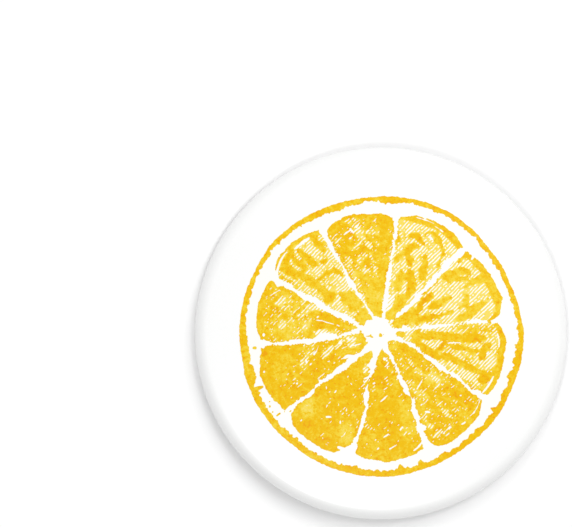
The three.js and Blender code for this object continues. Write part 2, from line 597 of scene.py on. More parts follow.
def solid_mesh(
    name: str,
    vertices: Iterable[tuple[float, float, float]],
    faces: Iterable[tuple[int, ...]],
    places: Sequence[Point],
    crease: float = math.radians(32),
) -> bpy.types.Object:
    """Makes an object from a closed mesh.

    Args:
        name: The object's name.
        vertices: Its vertices, in metres.
        faces: Its faces.
        places: The place on the map of each corner of each face.
        crease: Edges that bend more than this stay sharp.

    Returns:
        The object.
    """
    mesh = bpy.data.meshes.new(name)
    mesh.from_pydata(list(vertices), [], list(faces))
    layer = mesh.uv_layers.new(name="OFBake")
    layer.data.foreach_set("uv", np.asarray(places, dtype=np.float32).ravel())
    mesh.polygons.foreach_set("use_smooth", [True] * len(mesh.polygons))
    mesh.set_sharp_from_angle(angle=crease)
    mesh.update()
    piece = bpy.data.objects.new(name, mesh)
    bpy.context.scene.collection.objects.link(piece)
    return piece


def dress(piece: bpy.types.Object, material: bpy.types.Material, slot: str, *nodes: str) -> None:
    """Gives a piece its material and puts it in the place of its nodes.

    Args:
        piece: The piece.
        material: Its material.
        slot: Not used.
        *nodes: The nodes that it replaces.
    """
    piece.data.materials.append(material)
    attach(piece, "root")
    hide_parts(*nodes)
    triangles = sum(len(face.vertices) - 2 for face in piece.data.polygons)
    log.info("%s: %d triangles", piece.name, triangles)


@dataclass(frozen=True)
class ButtonForm:
    """The outside of the button, from the top of its dome to the rim of its back."""

    radius: float
    top: float
    rim: float
    face_edge_slope: float = math.radians(5.4)
    front_edge_radius: float = 2.0
    back_edge_radius: float = 0.9
    cover_thickness: float = 0.3
    cover_gap: float = 0.03
    turn_steps: int = 256
    face_steps: int = 22
    front_edge_steps: int = 16
    back_edge_steps: int = 12

    @property
    def dome_radius(self) -> float:
        """The radius of the sphere that the face is part of."""
        slope = math.sin(self.face_edge_slope)
        return (self.radius - self.front_edge_radius * (1 - slope)) / slope

    @property
    def dome_centre(self) -> float:
        """The height of that sphere's centre."""
        return self.top - self.dome_radius

    @property
    def back_edge_centre(self) -> Point:
        """The centre of the rounding between the side and the back."""
        return self.radius - self.back_edge_radius, self.rim + self.back_edge_radius

    def height(self, x: Array, y: Array) -> Array:
        """The height of the printed face."""
        return self.dome_centre + np.sqrt(self.dome_radius**2 - x**2 - y**2)

    def face(self, inset: float) -> list[Point]:
        """The domed face, from the axis to its edge, moved inwards by inset."""
        radius = self.dome_radius - inset
        return arc((0.0, self.dome_centre), radius, 0.0, self.face_edge_slope, self.face_steps)

    def edge(self, inset: float) -> list[Point]:
        """The front rounding, the side and the back rounding.

        Args:
            inset: How far they are moved inwards.

        Returns:
            The points, from the front to the back.
        """
        rise = (self.dome_radius - self.front_edge_radius) * math.cos(self.face_edge_slope)
        centre = (self.radius - self.front_edge_radius, self.dome_centre + rise)
        radius = self.front_edge_radius - inset
        front = arc(centre, radius, self.face_edge_slope, QUARTER, self.front_edge_steps)
        radius = self.back_edge_radius - inset
        return front + arc(self.back_edge_centre, radius, QUARTER, math.pi, self.back_edge_steps)


@dataclass(frozen=True)
class Cover:
    """The printed cover, stretched over the dome and the side and turned in at the back."""

    form: ButtonForm
    finish: CoverFinish = CoverFinish()
    tuck_steps: int = 6
    shares: tuple[float, ...] = (28.0, 6.0, 0.6, 1.5)

    def build(self) -> bpy.types.Object:
        """Makes the cover.

        Returns:
            The object.
        """
        form = self.form
        thickness = form.cover_thickness
        inner = [*form.face(thickness), *form.edge(thickness)[1:]]
        turn_centre = (form.back_edge_centre[0], form.rim + thickness)
        tuck = arc(turn_centre, thickness, math.pi, 3 * QUARTER, self.tuck_steps)
        stretches = [form.face(0.0), form.edge(0.0), tuck, [tuck[-1], *inner[::-1]]]
        return turned("cover_film", stretches, self.shares, form.turn_steps)

    def dress(self) -> None:
        """Makes the cover and gives it its finish."""
        dress(self.build(), self.finish.material(), "cover", "printed_cover")


@dataclass(frozen=True)
class MetalBack:
    """The pressed metal button, whose bare ring shows round the magnet."""

    form: ButtonForm
    ring_height: float
    seat_radius: float
    seat_floor: float
    finish: MetalFinish = MetalFinish()
    edge_chamfer: float = 0.12
    chamfer_steps: int = 6
    lip: float = 0.08
    lip_steps: int = 5
    shares: tuple[float, ...] = (4.0, 1.0, 6.0, 1.0, 2.0)

    def build(self) -> bpy.types.Object:
        """Makes the button.

        Returns:
            The object.
        """
        form = self.form
        inset = form.cover_thickness + form.cover_gap
        hidden = [*form.face(inset), *form.edge(inset)[1:]]
        ring = form.back_edge_centre[0] - inset
        chamfer = self.edge_chamfer
        centre = (ring - chamfer, self.ring_height + chamfer)
        rounding = arc(centre, chamfer, QUARTER, math.pi, self.chamfer_steps)
        centre = (self.seat_radius + self.lip, self.ring_height + self.lip)
        lip = arc(centre, self.lip, math.pi, 3 * QUARTER, self.lip_steps)
        side = [hidden[-1], (ring, hidden[-1][1]), *rounding]
        flat = [rounding[-1], lip[0]]
        floor = [lip[-1], (self.seat_radius, self.seat_floor), (0.0, self.seat_floor)]
        stretches = [hidden, side, flat, lip, floor]
        return turned("metal_back", stretches, self.shares, form.turn_steps)

    def dress(self) -> None:
        """Makes the button and gives it its finish."""
        dress(self.build(), self.finish.material(), "metal", "metal_body")


@dataclass(frozen=True)
class MagnetDisc:
    """The flat dark magnet in the back."""

    radius: float
    thickness: float
    finish: MagnetFinish = MagnetFinish()
    edge_radius: float = 0.7
    edge_steps: int = 12
    turn_steps: int = 256
    shares: tuple[float, ...] = (2.0, 1.5, 24.0)

    def build(self) -> bpy.types.Object:
        """Makes the disc.

        Returns:
            The object.
        """
        centre = (self.radius - self.edge_radius, self.edge_radius)
        rounding = arc(centre, self.edge_radius, QUARTER, math.pi, self.edge_steps)
        top = [(0.0, self.thickness), (self.radius, self.thickness), rounding[0]]
        flat = [rounding[-1], (self.radius / 2, 0.0), (0.0, 0.0)]
        return turned("magnet_pad", [top, rounding, flat], self.shares, self.turn_steps)

    def dress(self) -> None:
        """Makes the disc and gives it its finish."""
        dress(self.build(), self.finish.material(), "magnet", "magnet_disc")


# --------------------------------------------------------------------------- the drawing of the ink


class Grain:
    """Smooth random lumps over a plane: each seed has its own, in every run."""

    SIDE = 256

    def __init__(self, seed: int, height: float = 1.0, size: float = 1.0, other: float = 0.0) -> None:
        """Draws the values.

        Args:
            seed: The seed of the draw.
            height: How far the lumps rise and fall.
            size: The size of a lump.
            other: Its size the other way, where that isn't the same.
        """
        draw = np.random.default_rng(seed)
        self.values = draw.uniform(-1.0, 1.0, (self.SIDE, self.SIDE))
        self.height = height
        self.sizes = (size, other or size)

    def __call__(self, x: Array, y: Array) -> Array:
        """Reads the lumps.

        Args:
            x: The places across.
            y: The places up.

        Returns:
            The values there.
        """
        x = x / self.sizes[0]
        y = y / self.sizes[1]
        column = np.floor(x).astype(int)
        row = np.floor(y).astype(int)
        right = smooth_share(x - column)
        up = smooth_share(y - row)

        def corner(dx: int, dy: int) -> Array:
            """The value at a corner of the cell."""
            return self.values[(column + dx) % self.SIDE, (row + dy) % self.SIDE]

        low = corner(0, 0) * (1 - right) + corner(1, 0) * right
        high = corner(0, 1) * (1 - right) + corner(1, 1) * right
        return self.height * (low * (1 - up) + high * up)


class Layers:
    """Grains of several sizes, added up."""

    def __init__(self, *grains: Grain) -> None:
        """Takes the grains.

        Args:
            *grains: The grains.
        """
        self.grains = grains

    def __call__(self, x: Array, y: Array) -> Array:
        """The values at some places."""
        return sum(grain(x, y) for grain in self.grains)


def smooth_share(share: Array) -> Array:
    """Eases a share between 0 and 1 at both ends."""
    return share * share * (3 - 2 * share)


def ramp(values: Array, low: float, high: float) -> Array:
    """Rises smoothly from 0 at low to 1 at high, or falls where low is the larger."""
    return smooth_share(np.clip((values - low) / (high - low), 0.0, 1.0))


def turned_from(angle: Array, direction: Array | float) -> Array:
    """How far an angle is turned from a direction, anticlockwise, from -pi to pi."""
    return np.mod(angle - direction + math.pi, TURN) - math.pi


def near_line(x: Array, y: Array, start: Array, end: Array) -> tuple[Array, Array]:
    """Where places are beside a straight line.

    Args:
        x: The places across.
        y: The places up.
        start: The line's first end.
        end: Its other end.

    Returns:
        The share of the line at the point of it that is nearest to each place, and the distance.
    """
    run = end - start
    share = ((x - start[0]) * run[0] + (y - start[1]) * run[1]) / max(run @ run, TINY)
    share = np.clip(share, 0.0, 1.0)
    return share, np.hypot(x - start[0] - share * run[0], y - start[1] - share * run[1])


class Raster:
    """A square grid of points over part of the face."""

    STEP = 0.05
    SPARE = 2  # extra rows and columns on each side

    def __init__(self, low: Point, high: Point) -> None:
        """Lays the grid over a box.

        Args:
            low: The lower left corner of the box.
            high: Its upper right corner.
        """
        first = np.floor(np.asarray(low) / self.STEP).astype(int) - self.SPARE
        last = np.ceil(np.asarray(high) / self.STEP).astype(int) + self.SPARE
        self.across = np.arange(first[0], last[0] + 1) * self.STEP
        self.up = np.arange(first[1], last[1] + 1) * self.STEP
        self.x, self.y = np.meshgrid(self.across, self.up)

    def window(self, points: Array, margin: float) -> tuple[slice, slice]:
        """Picks a part of the grid.

        Args:
            points: Some points.
            margin: How far the part goes out from them.

        Returns:
            Its rows and its columns.
        """
        low = points.min(axis=0) - margin
        high = points.max(axis=0) + margin
        columns = slice(*np.searchsorted(self.across, (low[0], high[0])))
        rows = slice(*np.searchsorted(self.up, (low[1], high[1])))
        return rows, columns

    def at(self, values: Array, points: Array) -> Array:
        """Reads the grid.

        Args:
            values: The values of its places.
            points: Some points.

        Returns:
            The value of the place nearest to each point.
        """
        column = np.rint((points[:, 0] - self.across[0]) / self.STEP).astype(int)
        row = np.rint((points[:, 1] - self.up[0]) / self.STEP).astype(int)
        return values[row, column]


@dataclass(frozen=True)
class Inked:
    """What a drawing puts on a grid.

    Attributes:
        depth: How deep each place is in the ink, in millimetres; negative outside it.
        wash: How thin the ink is: 0 is deep yellow, 1 pale and 2 almost gone; below 0 is orange.
    """

    depth: Array
    wash: Array


@dataclass(frozen=True)
class Texture:
    """What makes the ink look stamped: ragged edges, slow wobbles and the engraver's line screen.

    The screen is a set of parallel lines that rise to the right. Where the ink is open, each line
    is a row of white dashes. Widths and limits are shares of the pitch.

    Attributes:
        ragged: The small unevenness of an inked edge.
        fine: The finest unevenness, of the paper's grain.
        wobble: The slow unevenness of a line drawn by hand.
        warp: What pushes the edge of a brush stroke in and out.
        waver: How far the screen's lines stray, in pitches.
        dashes: What breaks the lines into dashes: the lumps, the length of one, and how far the
            place in them moves along and across from one line to the next.
        pitch: The distance between two lines.
        dash_swing: How much the dashes vary in width.
        narrowest: The narrowest dash.
        least_limit: The limit of a dash's width where the ink is solid.
        first_limit: What that limit rises from.
        limit_rise: How much it rises as the ink opens.
        widest: The limit where the ink is open.
        barest: How much more it is where the ink is bare.
        dash_roughness: How rough the edge of a dash is.
        no_dash: The depth where a line has no dash.
    """

    ragged: Layers = Layers(Grain(1, 0.13, 0.42), Grain(2, 0.09, 0.2))
    fine: Grain = Grain(3, 0.06, 0.13)
    wobble: Layers = Layers(Grain(4, 0.14, 1.5), Grain(5, 0.13, 0.75))
    warp: Layers = Layers(Grain(6, 0.2, 1.1), Grain(7, 0.2, 0.42))
    waver: Grain = Grain(17, 0.2, 0.8)
    dashes: tuple[tuple[Grain, float, Point], ...] = (
        (Grain(8, 0.6), 0.6, (3.7, 17.31)),
        (Grain(9, 0.9), 0.24, (1.7, 7.31)),
    )
    pitch: float = 0.427
    dash_swing: float = 0.5
    narrowest: float = 0.16
    least_limit: float = 0.24
    first_limit: float = 0.17
    limit_rise: float = 0.6
    widest: float = 0.45
    barest: float = 0.27
    dash_roughness: float = 0.5
    no_dash: float = -1.0

    def screen(self, x: Array, y: Array) -> tuple[Array, Array]:
        """The screen's lines.

        Args:
            x: The places across.
            y: The places up.

        Returns:
            How far each place is from the middle of its line, from 0 to 1, and the random value
            that breaks the lines into dashes.
        """
        across = (y - x) * math.sqrt(0.5) / self.pitch + self.waver(x, y)
        along = (x + y) * math.sqrt(0.5)
        line = np.floor(across)
        off = np.abs(across - line - 0.5) * 2
        dash = np.zeros(x.shape)
        for grain, length, (shift, row) in self.dashes:
            dash = dash + grain(along / length + line * shift, line * row)
        return off, dash

    def white(self, x: Array, y: Array, tone: Array, bare: Array) -> Array:
        """How deep each place is in a white dash, in millimetres; negative in the ink.

        Args:
            x: The places across.
            y: The places up.
            tone: How open the ink is, from 0, solid, to 1.
            bare: How far the dashes spread past their widest, from 0 to 1.

        Returns:
            The depth.
        """
        off, dash = self.screen(x, y)
        width = tone + self.dash_swing * dash
        limit = self.first_limit + self.limit_rise * tone
        limit = np.clip(limit, self.least_limit, self.widest) + self.barest * bare
        depth = (np.minimum(width, limit) - off) * self.pitch / 2
        depth = depth + self.dash_roughness * self.fine(x, y)
        return np.where(width > self.narrowest, depth, self.no_dash)


class Mark(Enum):
    """What a brush stroke does to the ink of a wedge."""

    SOLID = "full ink"
    OPEN = "the screen's dashes show"
    BARE = "only thin lines of ink are left"
    CUT = "bare paper"
    PALE = "thinner wash"
    DARK = "deeper wash"


@dataclass(frozen=True)
class Stroke:
    """One brush stroke along a wedge: a line through polar places.

    A third number at a place is how wide the stroke is there, as a share of its width.
    """

    mark: Mark
    width: float
    path: tuple[Place, ...]
    strength: float = 1.0


def solid(width: float, *path: Place) -> Stroke:
    """A stroke of full ink."""
    return Stroke(Mark.SOLID, width, path)


def partly(strength: float, width: float, *path: Place) -> Stroke:
    """A stroke that closes the screen in part."""
    return Stroke(Mark.SOLID, width, path, strength)


def opened(strength: float, width: float, *path: Place) -> Stroke:
    """A stroke where the screen's white dashes show."""
    return Stroke(Mark.OPEN, width, path, strength)


def bared(strength: float, width: float, *path: Place) -> Stroke:
    """A stroke that leaves only thin lines of ink."""
    return Stroke(Mark.BARE, width, path, strength)


def cut(width: float, *path: Place) -> Stroke:
    """A stroke that leaves the paper bare."""
    return Stroke(Mark.CUT, width, path)


def pale(strength: float, width: float, *path: Place) -> Stroke:
    """A stroke where the wash is thinner."""
    return Stroke(Mark.PALE, width, path, strength)


def dark(strength: float, width: float, *path: Place) -> Stroke:
    """A stroke where the wash is deeper."""
    return Stroke(Mark.DARK, width, path, strength)


@dataclass(frozen=True)
class Fruit:
    """The layout that the rind and all the wedges share."""

    centre: Point = FRUIT_CENTRE
    core: Point = (-0.38, 0.6)
    corner_power: int = 12


@dataclass(frozen=True)
class Membrane:
    """A white line from the core outwards.

    Attributes:
        direction: Its direction, in degrees.
        passing: How far it passes the core, on its clockwise side.
        course: At some distances from the core, how far it strays, anticlockwise, and its width.
    """

    direction: float
    passing: float
    course: tuple[tuple[float, float, float], ...]

    def angle(self, distance: Array | float) -> Array:
        """The direction in which its straight line is seen from the core, at a distance."""
        ratio = np.clip(self.passing / np.asarray(distance), -1.0, 1.0)
        return math.radians(self.direction) - np.arcsin(ratio)

    def edge(self, distance: Array, side: int) -> Array:
        """How far one of its edges is from its straight line.

        Args:
            distance: The distance from the core.
            side: 1 for the anticlockwise edge and -1 for the clockwise one.

        Returns:
            How far, towards that side.
        """
        places, strays, widths = zip(*self.course)
        stray = np.interp(distance, places, strays)
        return side * stray + np.interp(distance, places, widths) / 2


@dataclass(frozen=True)
class WedgeInk:
    """One printed wedge of pulp.

    Attributes:
        tip: The distance from the core at which it starts, at its clockwise and its other side.
        corners: How far its two outer corners are rounded down, the clockwise one first.
        crown: How far its outer end is from the fruit's centre, at the shares of CROWN_SHARES.
        openness: How open the ink is away from its strokes.
        unevenness: How much that varies.
        band: The width of the solid band at the outer end, at the same shares.
        wash: How thin the ink is at the distances of WASH_PLACES.
        flecks: How many small white flecks it has.
        bridge: Where the wedge runs across its first membrane, as two distances from the core.
    """

    tip: tuple[float, float]
    corners: tuple[float, float]
    crown: tuple[float, ...]
    openness: float
    unevenness: float
    band: tuple[float, ...]
    wash: tuple[float, ...]
    strokes: tuple[Stroke, ...]
    flecks: int = 0
    bridge: tuple[float, float] | None = None


CROWN_SHARES = (-0.8, -0.5, -0.2, 0.2, 0.5, 0.8)
WASH_PLACES = (3.5, 5.7, 8.5, 11.5, 14.5, 17.5)

MEMBRANES = (
    Membrane(6, 0.4, (
        (3, 0.14, 0.45), (3.4, 0.12, 0.45), (3.8, 0.29, 0.82), (4.2, 0.27, 0.77), (4.5, 0.05, 0.4),
        (5, -0.06, 0.3), (7.5, 0.05, 0.4), (10, 0.06, 0.45), (12.5, -0.1, 0.3), (15, 0.2, 0.6),
        (17, -0.35, 0.4), (18.5, -0.2, 0.5),
    )),
    Membrane(45, 0.5, (
        (2.5, 0, 0.45), (2.75, 0, -0.3), (3.2, 0, -0.3), (3.55, 0, 0.4), (5, -0.15, 0.5),
        (7, -0.25, 0.6), (8, 0, 0.8), (9.5, -0.17, 0.5), (12.5, 0, 0.75), (14.5, 0.2, 1.0),
        (16, 0, 0.8), (17.4, 0, 0.95), (18, -0.2, 0.6),
    )),
    Membrane(82, 0.45, (
        (3, 0, 0.6), (4, 0.05, 0.52), (6, 0.1, 0.48), (8, 0.1, 0.75), (10, 0.06, 0.45),
        (13, 0, 0.5), (15, 0, 0.45), (17, 0.1, 0.8), (18, 0, 1.4),
    )),
    Membrane(120, 0.2, (
        (3, 0, 0.4), (6, 0.15, 0.45), (7, 0.3, 0.6), (8.3, 0.35, 0.95), (9.5, 0.25, 0.7),
        (11, 0.1, 0.55), (13.5, 0.27, 0.55), (16, 0.1, 0.5), (17.5, -0.1, 1.2), (18.5, -0.4, 1.7),
    )),
    Membrane(152, -0.7, (
        (3, 0.3, 0.8), (4, 0.05, 0.65), (5, -0.02, 0.85), (6.5, 0.2, 0.8), (9, 0.17, 0.85),
        (11, 0, 1.2), (13, 0.15, 0.75), (15.5, -0.08, 0.85), (17, 0, 1.2), (18.5, -0.4, 1.7),
    )),
    Membrane(188, 0.25, (
        (2.6, 0, 1.0), (2.68, -0.2, 0.6), (2.92, -0.2, 0.6), (3.0, 0.03, 1.05), (3.5, 0.04, 1.08),
        (4.2, 0.21, 0.67), (5, 0.2, 0.6), (5.7, 0.2, 0.6), (6.1, 0.47, 0.45), (6.4, 0.56, 0.63),
        (6.6, 0.37, 1.05), (7.3, 0.27, 1.15), (8.3, 0.25, 0.9), (8.9, 0.34, 1.08),
        (9.6, 0.37, 0.95), (10.5, 0.6, 0.6), (12.5, 0.25, 0.65), (15, 0.28, 0.45),
        (17, 0, 0.55), (18.5, -0.1, 1.3),
    )),
    Membrane(219.5, -0.75, (
        (3, 0.7, 1.4), (4.5, 0.33, 0.72), (6, 0.15, 1.0), (7.5, 0.16, 0.92), (9, 0.04, 0.92),
        (10, -0.02, 0.75), (11.2, -0.03, 0.43), (11.8, -0.22, 0.75), (12.6, -0.24, 0.62),
        (13.1, -0.08, 0.23), (15, 0.15, 0.42), (16, -0.04, 0.32), (17, -0.13, 0.64),
        (18, -0.07, 0.95),
    )),
    Membrane(259, 0, (
        (3, 0.03, 1.75), (3.6, 0.04, 1.08), (4.1, 0.12, 0.85), (4.7, 0.16, 0.92), (5.3, 0.2, 0.95),
        (5.8, 0.23, 0.97), (6.1, 0.21, 0.82), (6.4, 0.2, 0.71), (7.1, 0.15, 0.54),
        (7.7, 0.03, 0.38), (9.2, 0.02, 0.42), (9.8, 0.08, 0.75),
        (11, 0.08, 0.71), (12, 0.4, 0.52), (14, 0.3, 0.6), (16, 0.08, 0.42), (18, -0.3, 0.75),
    )),
    Membrane(293, 0, (
        (2.6, -0.16, 0.9), (3.4, -0.03, 0.78), (4, 0.1, 0.55), (6, 0.27, 0.32), (8, 0.15, 0.6),
        (10.3, 0.24, 0.69), (11.5, 0.5, 0.56), (12, 0.52, 0.85), (12.7, 0.26, 0.77),
        (13.7, 0.14, 0.58), (14.8, 0.06, 0.73), (16, 0.01, 1.1), (16.6, 0.23, 1.5),
        (16.9, -0.21, 0.63), (17.7, -0.15, 0.9), (18.5, -0.22, 1.15),
    )),
    Membrane(326.5, -0.6, (
        (3, -0.2, 0.6), (4, -0.03, 0.5), (6, 0.3, 0.62), (7.5, 0, 0.45), (10, -0.1, 0.7),
        (12, -0.15, 0.4), (14, 0, 0.45), (15.5, -0.3, 0.52), (17, -0.6, 0.62), (18, -0.35, 0.95),
    )),
)

# The strokes of each wedge. Bare places win over solid ones, and both over open ones.
STROKES_01 = (
    solid(0.8, (0.88, 18.2), (0.88, 17.2), (0.86, 16, 0.5)),
    cut(0.3, (0.71, 18.8), (0.7, 18.3), (0.68, 17.9, 0.6)),
    solid(0.5, (0.86, 13.6), (0.87, 11), (0.85, 8.6, 0.5)),
    solid(1.3, (0.78, 12.6, 0.6), (0.72, 14), (0.6, 15.5), (0.46, 16.2, 0.9), (0.34, 15.8, 0.4)),
    solid(0.9, (0.55, 13.2), (0.48, 14.2), (0.38, 15.2), (0.3, 15.6)),
    solid(0.95, (0.12, 18.2), (0.16, 16.4), (0.12, 14.3, 0.6)),
    solid(0.7, (0.0, 14.1, 0.5), (-0.18, 14.3), (-0.34, 13.8, 1.1), (-0.42, 12.8)),
    solid(1.35, (-0.5, 17.2, 0.5), (-0.56, 15.5, 0.9), (-0.7, 14.2, 1.1), (-0.82, 12.5, 0.8)),
    solid(1.35, (0.06, 12, 0.6), (0.07, 11, 0.8), (0.05, 9.6), (0.06, 8.6, 0.7)),
    solid(0.85, (0.58, 9.9, 0.7), (0.53, 8.6), (0.42, 7.4, 1.1), (0.22, 6.5)),
    solid(1.0, (-0.5, 11.6, 0.35), (-0.5, 9.8, 0.55), (-0.46, 8), (-0.42, 6.8, 1.2)),
    solid(1.1, (0.5, 5.9), (0.0, 5.9), (-0.5, 6)),
    solid(2.0, (0.15, 5.2), (0.1, 4.2), (-0.05, 3.1)),
    solid(1.0, (0.3, 2.9), (0, 2.7), (-0.3, 2.9)),
    solid(0.4, (0.36, 15, 0.6), (0.35, 14.4), (0.34, 13.8, 0.6)),
    dark(0.6, 0.8, (0.88, 17.8), (0.88, 17), (0.87, 16.3)),
    dark(0.6, 0.9, (0.56, 9.6), (0.5, 8.2), (0.3, 6.8)),
    dark(0.6, 0.9, (-0.47, 9), (-0.44, 7.6), (-0.44, 6.6)),
    dark(0.5, 0.6, (-0.86, 17.6), (-0.92, 17.4), (-0.95, 17.2)),
    dark(0.6, 0.3, (0.35, 14.9), (0.35, 14.6), (0.35, 14.3)),
)
STROKES_02 = (
    cut(0.16, (0.5, 18.15), (0.25, 18.28), (0.0, 18.33)),
    cut(0.12, (0.12, 17.98), (-0.05, 18.02), (-0.28, 17.95)),
    solid(0.8, (0.12, 15.9, 0.6), (0.06, 16.7), (-0.1, 16.95), (-0.28, 16.5), (-0.45, 16, 0.6)),
    cut(0.3, (0.02, 16.1), (-0.06, 16.2), (-0.13, 16.1)),
    solid(0.75, (0.52, 15.1, 0.6), (0.36, 15.5), (0.2, 15.3), (0.04, 14.8, 0.6)),
    solid(0.75, (0.2, 14, 0.7), (0.36, 13.7), (0.5, 12.9, 1.1), (0.66, 11.8), (0.84, 10.6, 0.7)),
    solid(0.45, (0.92, 15.2), (0.9, 14), (0.88, 13)),
    solid(0.8, (0.38, 12, 0.6), (0.26, 11.7), (0.18, 11.1, 0.8)),
    solid(0.6, (-0.6, 15.8, 0.7), (-0.67, 14.8), (-0.76, 13.2, 0.8)),
    solid(1.1, (-0.2, 13.3, 0.45), (-0.34, 12.2, 0.8), (-0.46, 11, 1.1), (-0.62, 10.4, 0.9)),
    solid(1.3, (0.12, 10.2, 0.5), (0.02, 9.7), (-0.2, 9), (-0.42, 7.9, 1.1), (-0.58, 6.8)),
    solid(1.2, (0.44, 9.8, 0.7), (0.36, 8.6), (0.3, 7, 1.1)),
    solid(1.7, (-0.35, 6.3), (-0.38, 5), (-0.35, 3.6)),
    solid(1.3, (0.5, 2.6, 0.7), (0, 2.6), (-0.6, 2.8)),
    opened(0.5, 0.9, (-0.3, 17), (-0.5, 17), (-0.7, 16.8)),
    opened(0.3, 0.8, (-0.76, 9.2), (-0.78, 8.2), (-0.84, 7.2)),
    bared(1.0, 1.1, (0.62, 5.2), (0.66, 4.4), (0.8, 3.5)),
    dark(0.6, 0.7, (0.45, 15.3), (0.28, 15.4), (0.1, 15)),
    dark(0.6, 0.8, (0.2, 14), (0.36, 13.6), (0.5, 12.9)),
    dark(0.5, 0.8, (0.3, 11.9), (0.24, 11.5), (0.18, 11.1)),
    dark(0.5, 1.0, (0.04, 9.9), (-0.2, 9), (-0.5, 7.2)),
    dark(0.4, 0.8, (-0.3, 18.3), (-0.6, 18.2), (-0.9, 17.7)),
)
STROKES_03 = (
    cut(0.36, (0.31, 16.05), (0.29, 15.8), (0.25, 15.4)),
    cut(0.2, (0.52, 15.5), (0.42, 15.7), (0.32, 15.8)),
    opened(0.22, 0.6, (0.3, 16.8), (0.2, 16.6), (0.1, 16.5)),
    opened(0.36, 1.2, (0.16, 15.8), (0.08, 15.2), (0.02, 14.6)),
    opened(0.36, 0.6, (0.8, 15.0), (0.68, 14.9), (0.58, 14.8)),
    opened(0.36, 0.5, (0.65, 17.35), (0.45, 17.4), (0.1, 17.5)),
    opened(0.36, 0.6, (-0.15, 14.9), (-0.35, 14.9), (-0.7, 14.5)),
    opened(0.4, 0.8, (0.55, 12.8), (0.35, 13.2), (0.15, 13.5)),
    opened(0.5, 0.9, (-0.12, 13.3), (-0.2, 13), (-0.26, 12.6)),
    opened(0.36, 0.8, (-0.4, 13.2), (-0.48, 12.9), (-0.5, 12.6)),
    opened(0.36, 0.6, (0.88, 12.8), (0.8, 12.4), (0.66, 12.2)),
    opened(0.36, 0.9, (0.3, 11), (0.15, 11.4), (0.0, 11.6)),
    opened(0.44, 0.7, (-0.14, 11.5), (-0.2, 11.1), (-0.24, 10.6)),
    opened(0.36, 0.9, (0.3, 9.6), (0.22, 9.3), (0.14, 9)),
    opened(0.42, 0.7, (-0.28, 9.6), (-0.34, 9), (-0.32, 8.2)),
    opened(0.34, 0.9, (0.82, 10.8), (0.74, 9), (0.8, 7)),
    opened(0.36, 0.45, (0.75, 6.4), (0.5, 6.2), (0.3, 6.3)),
    solid(1.1, (-0.62, 16.8), (-0.66, 14), (-0.7, 11)),
    opened(0.36, 0.8, (0.82, 12.8), (0.74, 12), (0.7, 11.2)),
    opened(0.3, 0.6, (0.9, 5.6), (0.86, 4.8), (0.8, 4)),
    partly(0.3, 2.2, (0.3, 5.6), (0.1, 4.2), (0, 2.8)),
    dark(0.9, 0.35, (0.5, 17), (0.47, 16.7), (0.44, 16.4)),
    dark(0.5, 0.8, (0.35, 15.3), (0.6, 14.6), (0.6, 13.6)),
    dark(0.5, 0.8, (-0.05, 14.4), (0.1, 12.4), (0.1, 10.4)),
    pale(0.4, 1.2, (-0.15, 16.6), (-0.3, 15.8), (-0.4, 15)),
)
STROKES_04 = (
    cut(0.32, (0.92, 17.5, 0.8), (0.75, 17.95), (0.5, 18.34), (0.3, 18.48), (0.14, 18.5, 0.6)),
    cut(0.42, (-0.08, 17.8), (-0.3, 17.78), (-0.55, 17.7)),
    solid(1.6, (0.6, 17.4), (0.55, 16), (0.45, 14.6, 0.8)),
    solid(1.1, (0.66, 17.6, 0.7), (0.3, 17.8), (0.08, 17.9)),
    solid(0.9, (0.22, 17), (0.2, 16.2), (0.18, 15)),
    solid(0.9, (-0.08, 17.3), (-0.12, 15.6), (-0.12, 13.8)),
    solid(1.1, (-0.64, 17.8), (-0.66, 16.4), (-0.68, 15, 0.6)),
    solid(1.3, (0.48, 14.6), (0.4, 12, 0.8), (0.42, 9.6)),
    solid(0.4, (0.05, 11.9), (-0.25, 11.7), (-0.55, 11.4)),
    solid(0.8, (-0.6, 11.4, 0.7), (-0.66, 10.9), (-0.74, 10.4)),
    solid(0.5, (-0.42, 13.6), (-0.5, 13.5), (-0.58, 13.3)),
    solid(1.3, (0.7, 9, 0.8), (0.55, 9), (0.35, 8.8)),
    solid(2.0, (-0.02, 7.8, 0.5), (-0.2, 6.8), (-0.4, 5.6, 1.1)),
    solid(1.3, (0.1, 5.4, 0.7), (-0.2, 5.2), (-0.6, 5)),
    solid(1.6, (0.5, 3.4, 0.7), (0.1, 3.4), (-0.4, 3.5)),
    solid(1.1, (0.5, 2.8), (0, 2.5), (-0.6, 2.4)),
    opened(0.4, 0.6, (0.36, 17.3), (0.3, 17.1), (0.24, 17)),
    partly(0.12, 0.8, (0.85, 17.4), (0.85, 15.8), (0.85, 14.4)),
    opened(0.3, 1.0, (-0.4, 17.1), (-0.4, 15.8), (-0.42, 14.3)),
    opened(0.5, 0.4, (-0.2, 4.75), (-0.35, 4.7), (-0.5, 4.7)),
    dark(1.0, 0.45, (0.26, 17.7), (0.18, 17.6), (0.1, 17.3)),
    dark(1.1, 0.4, (-0.44, 13.5), (-0.5, 13.4), (-0.56, 13.3)),
    dark(0.8, 0.5, (0.0, 11.9), (-0.3, 11.6), (-0.68, 10.8)),
    dark(0.5, 1.0, (0.62, 16.6), (0.6, 15.6), (0.5, 14.8)),
    dark(0.6, 1.0, (0.55, 9.4), (0.4, 9.2), (0.3, 9)),
)
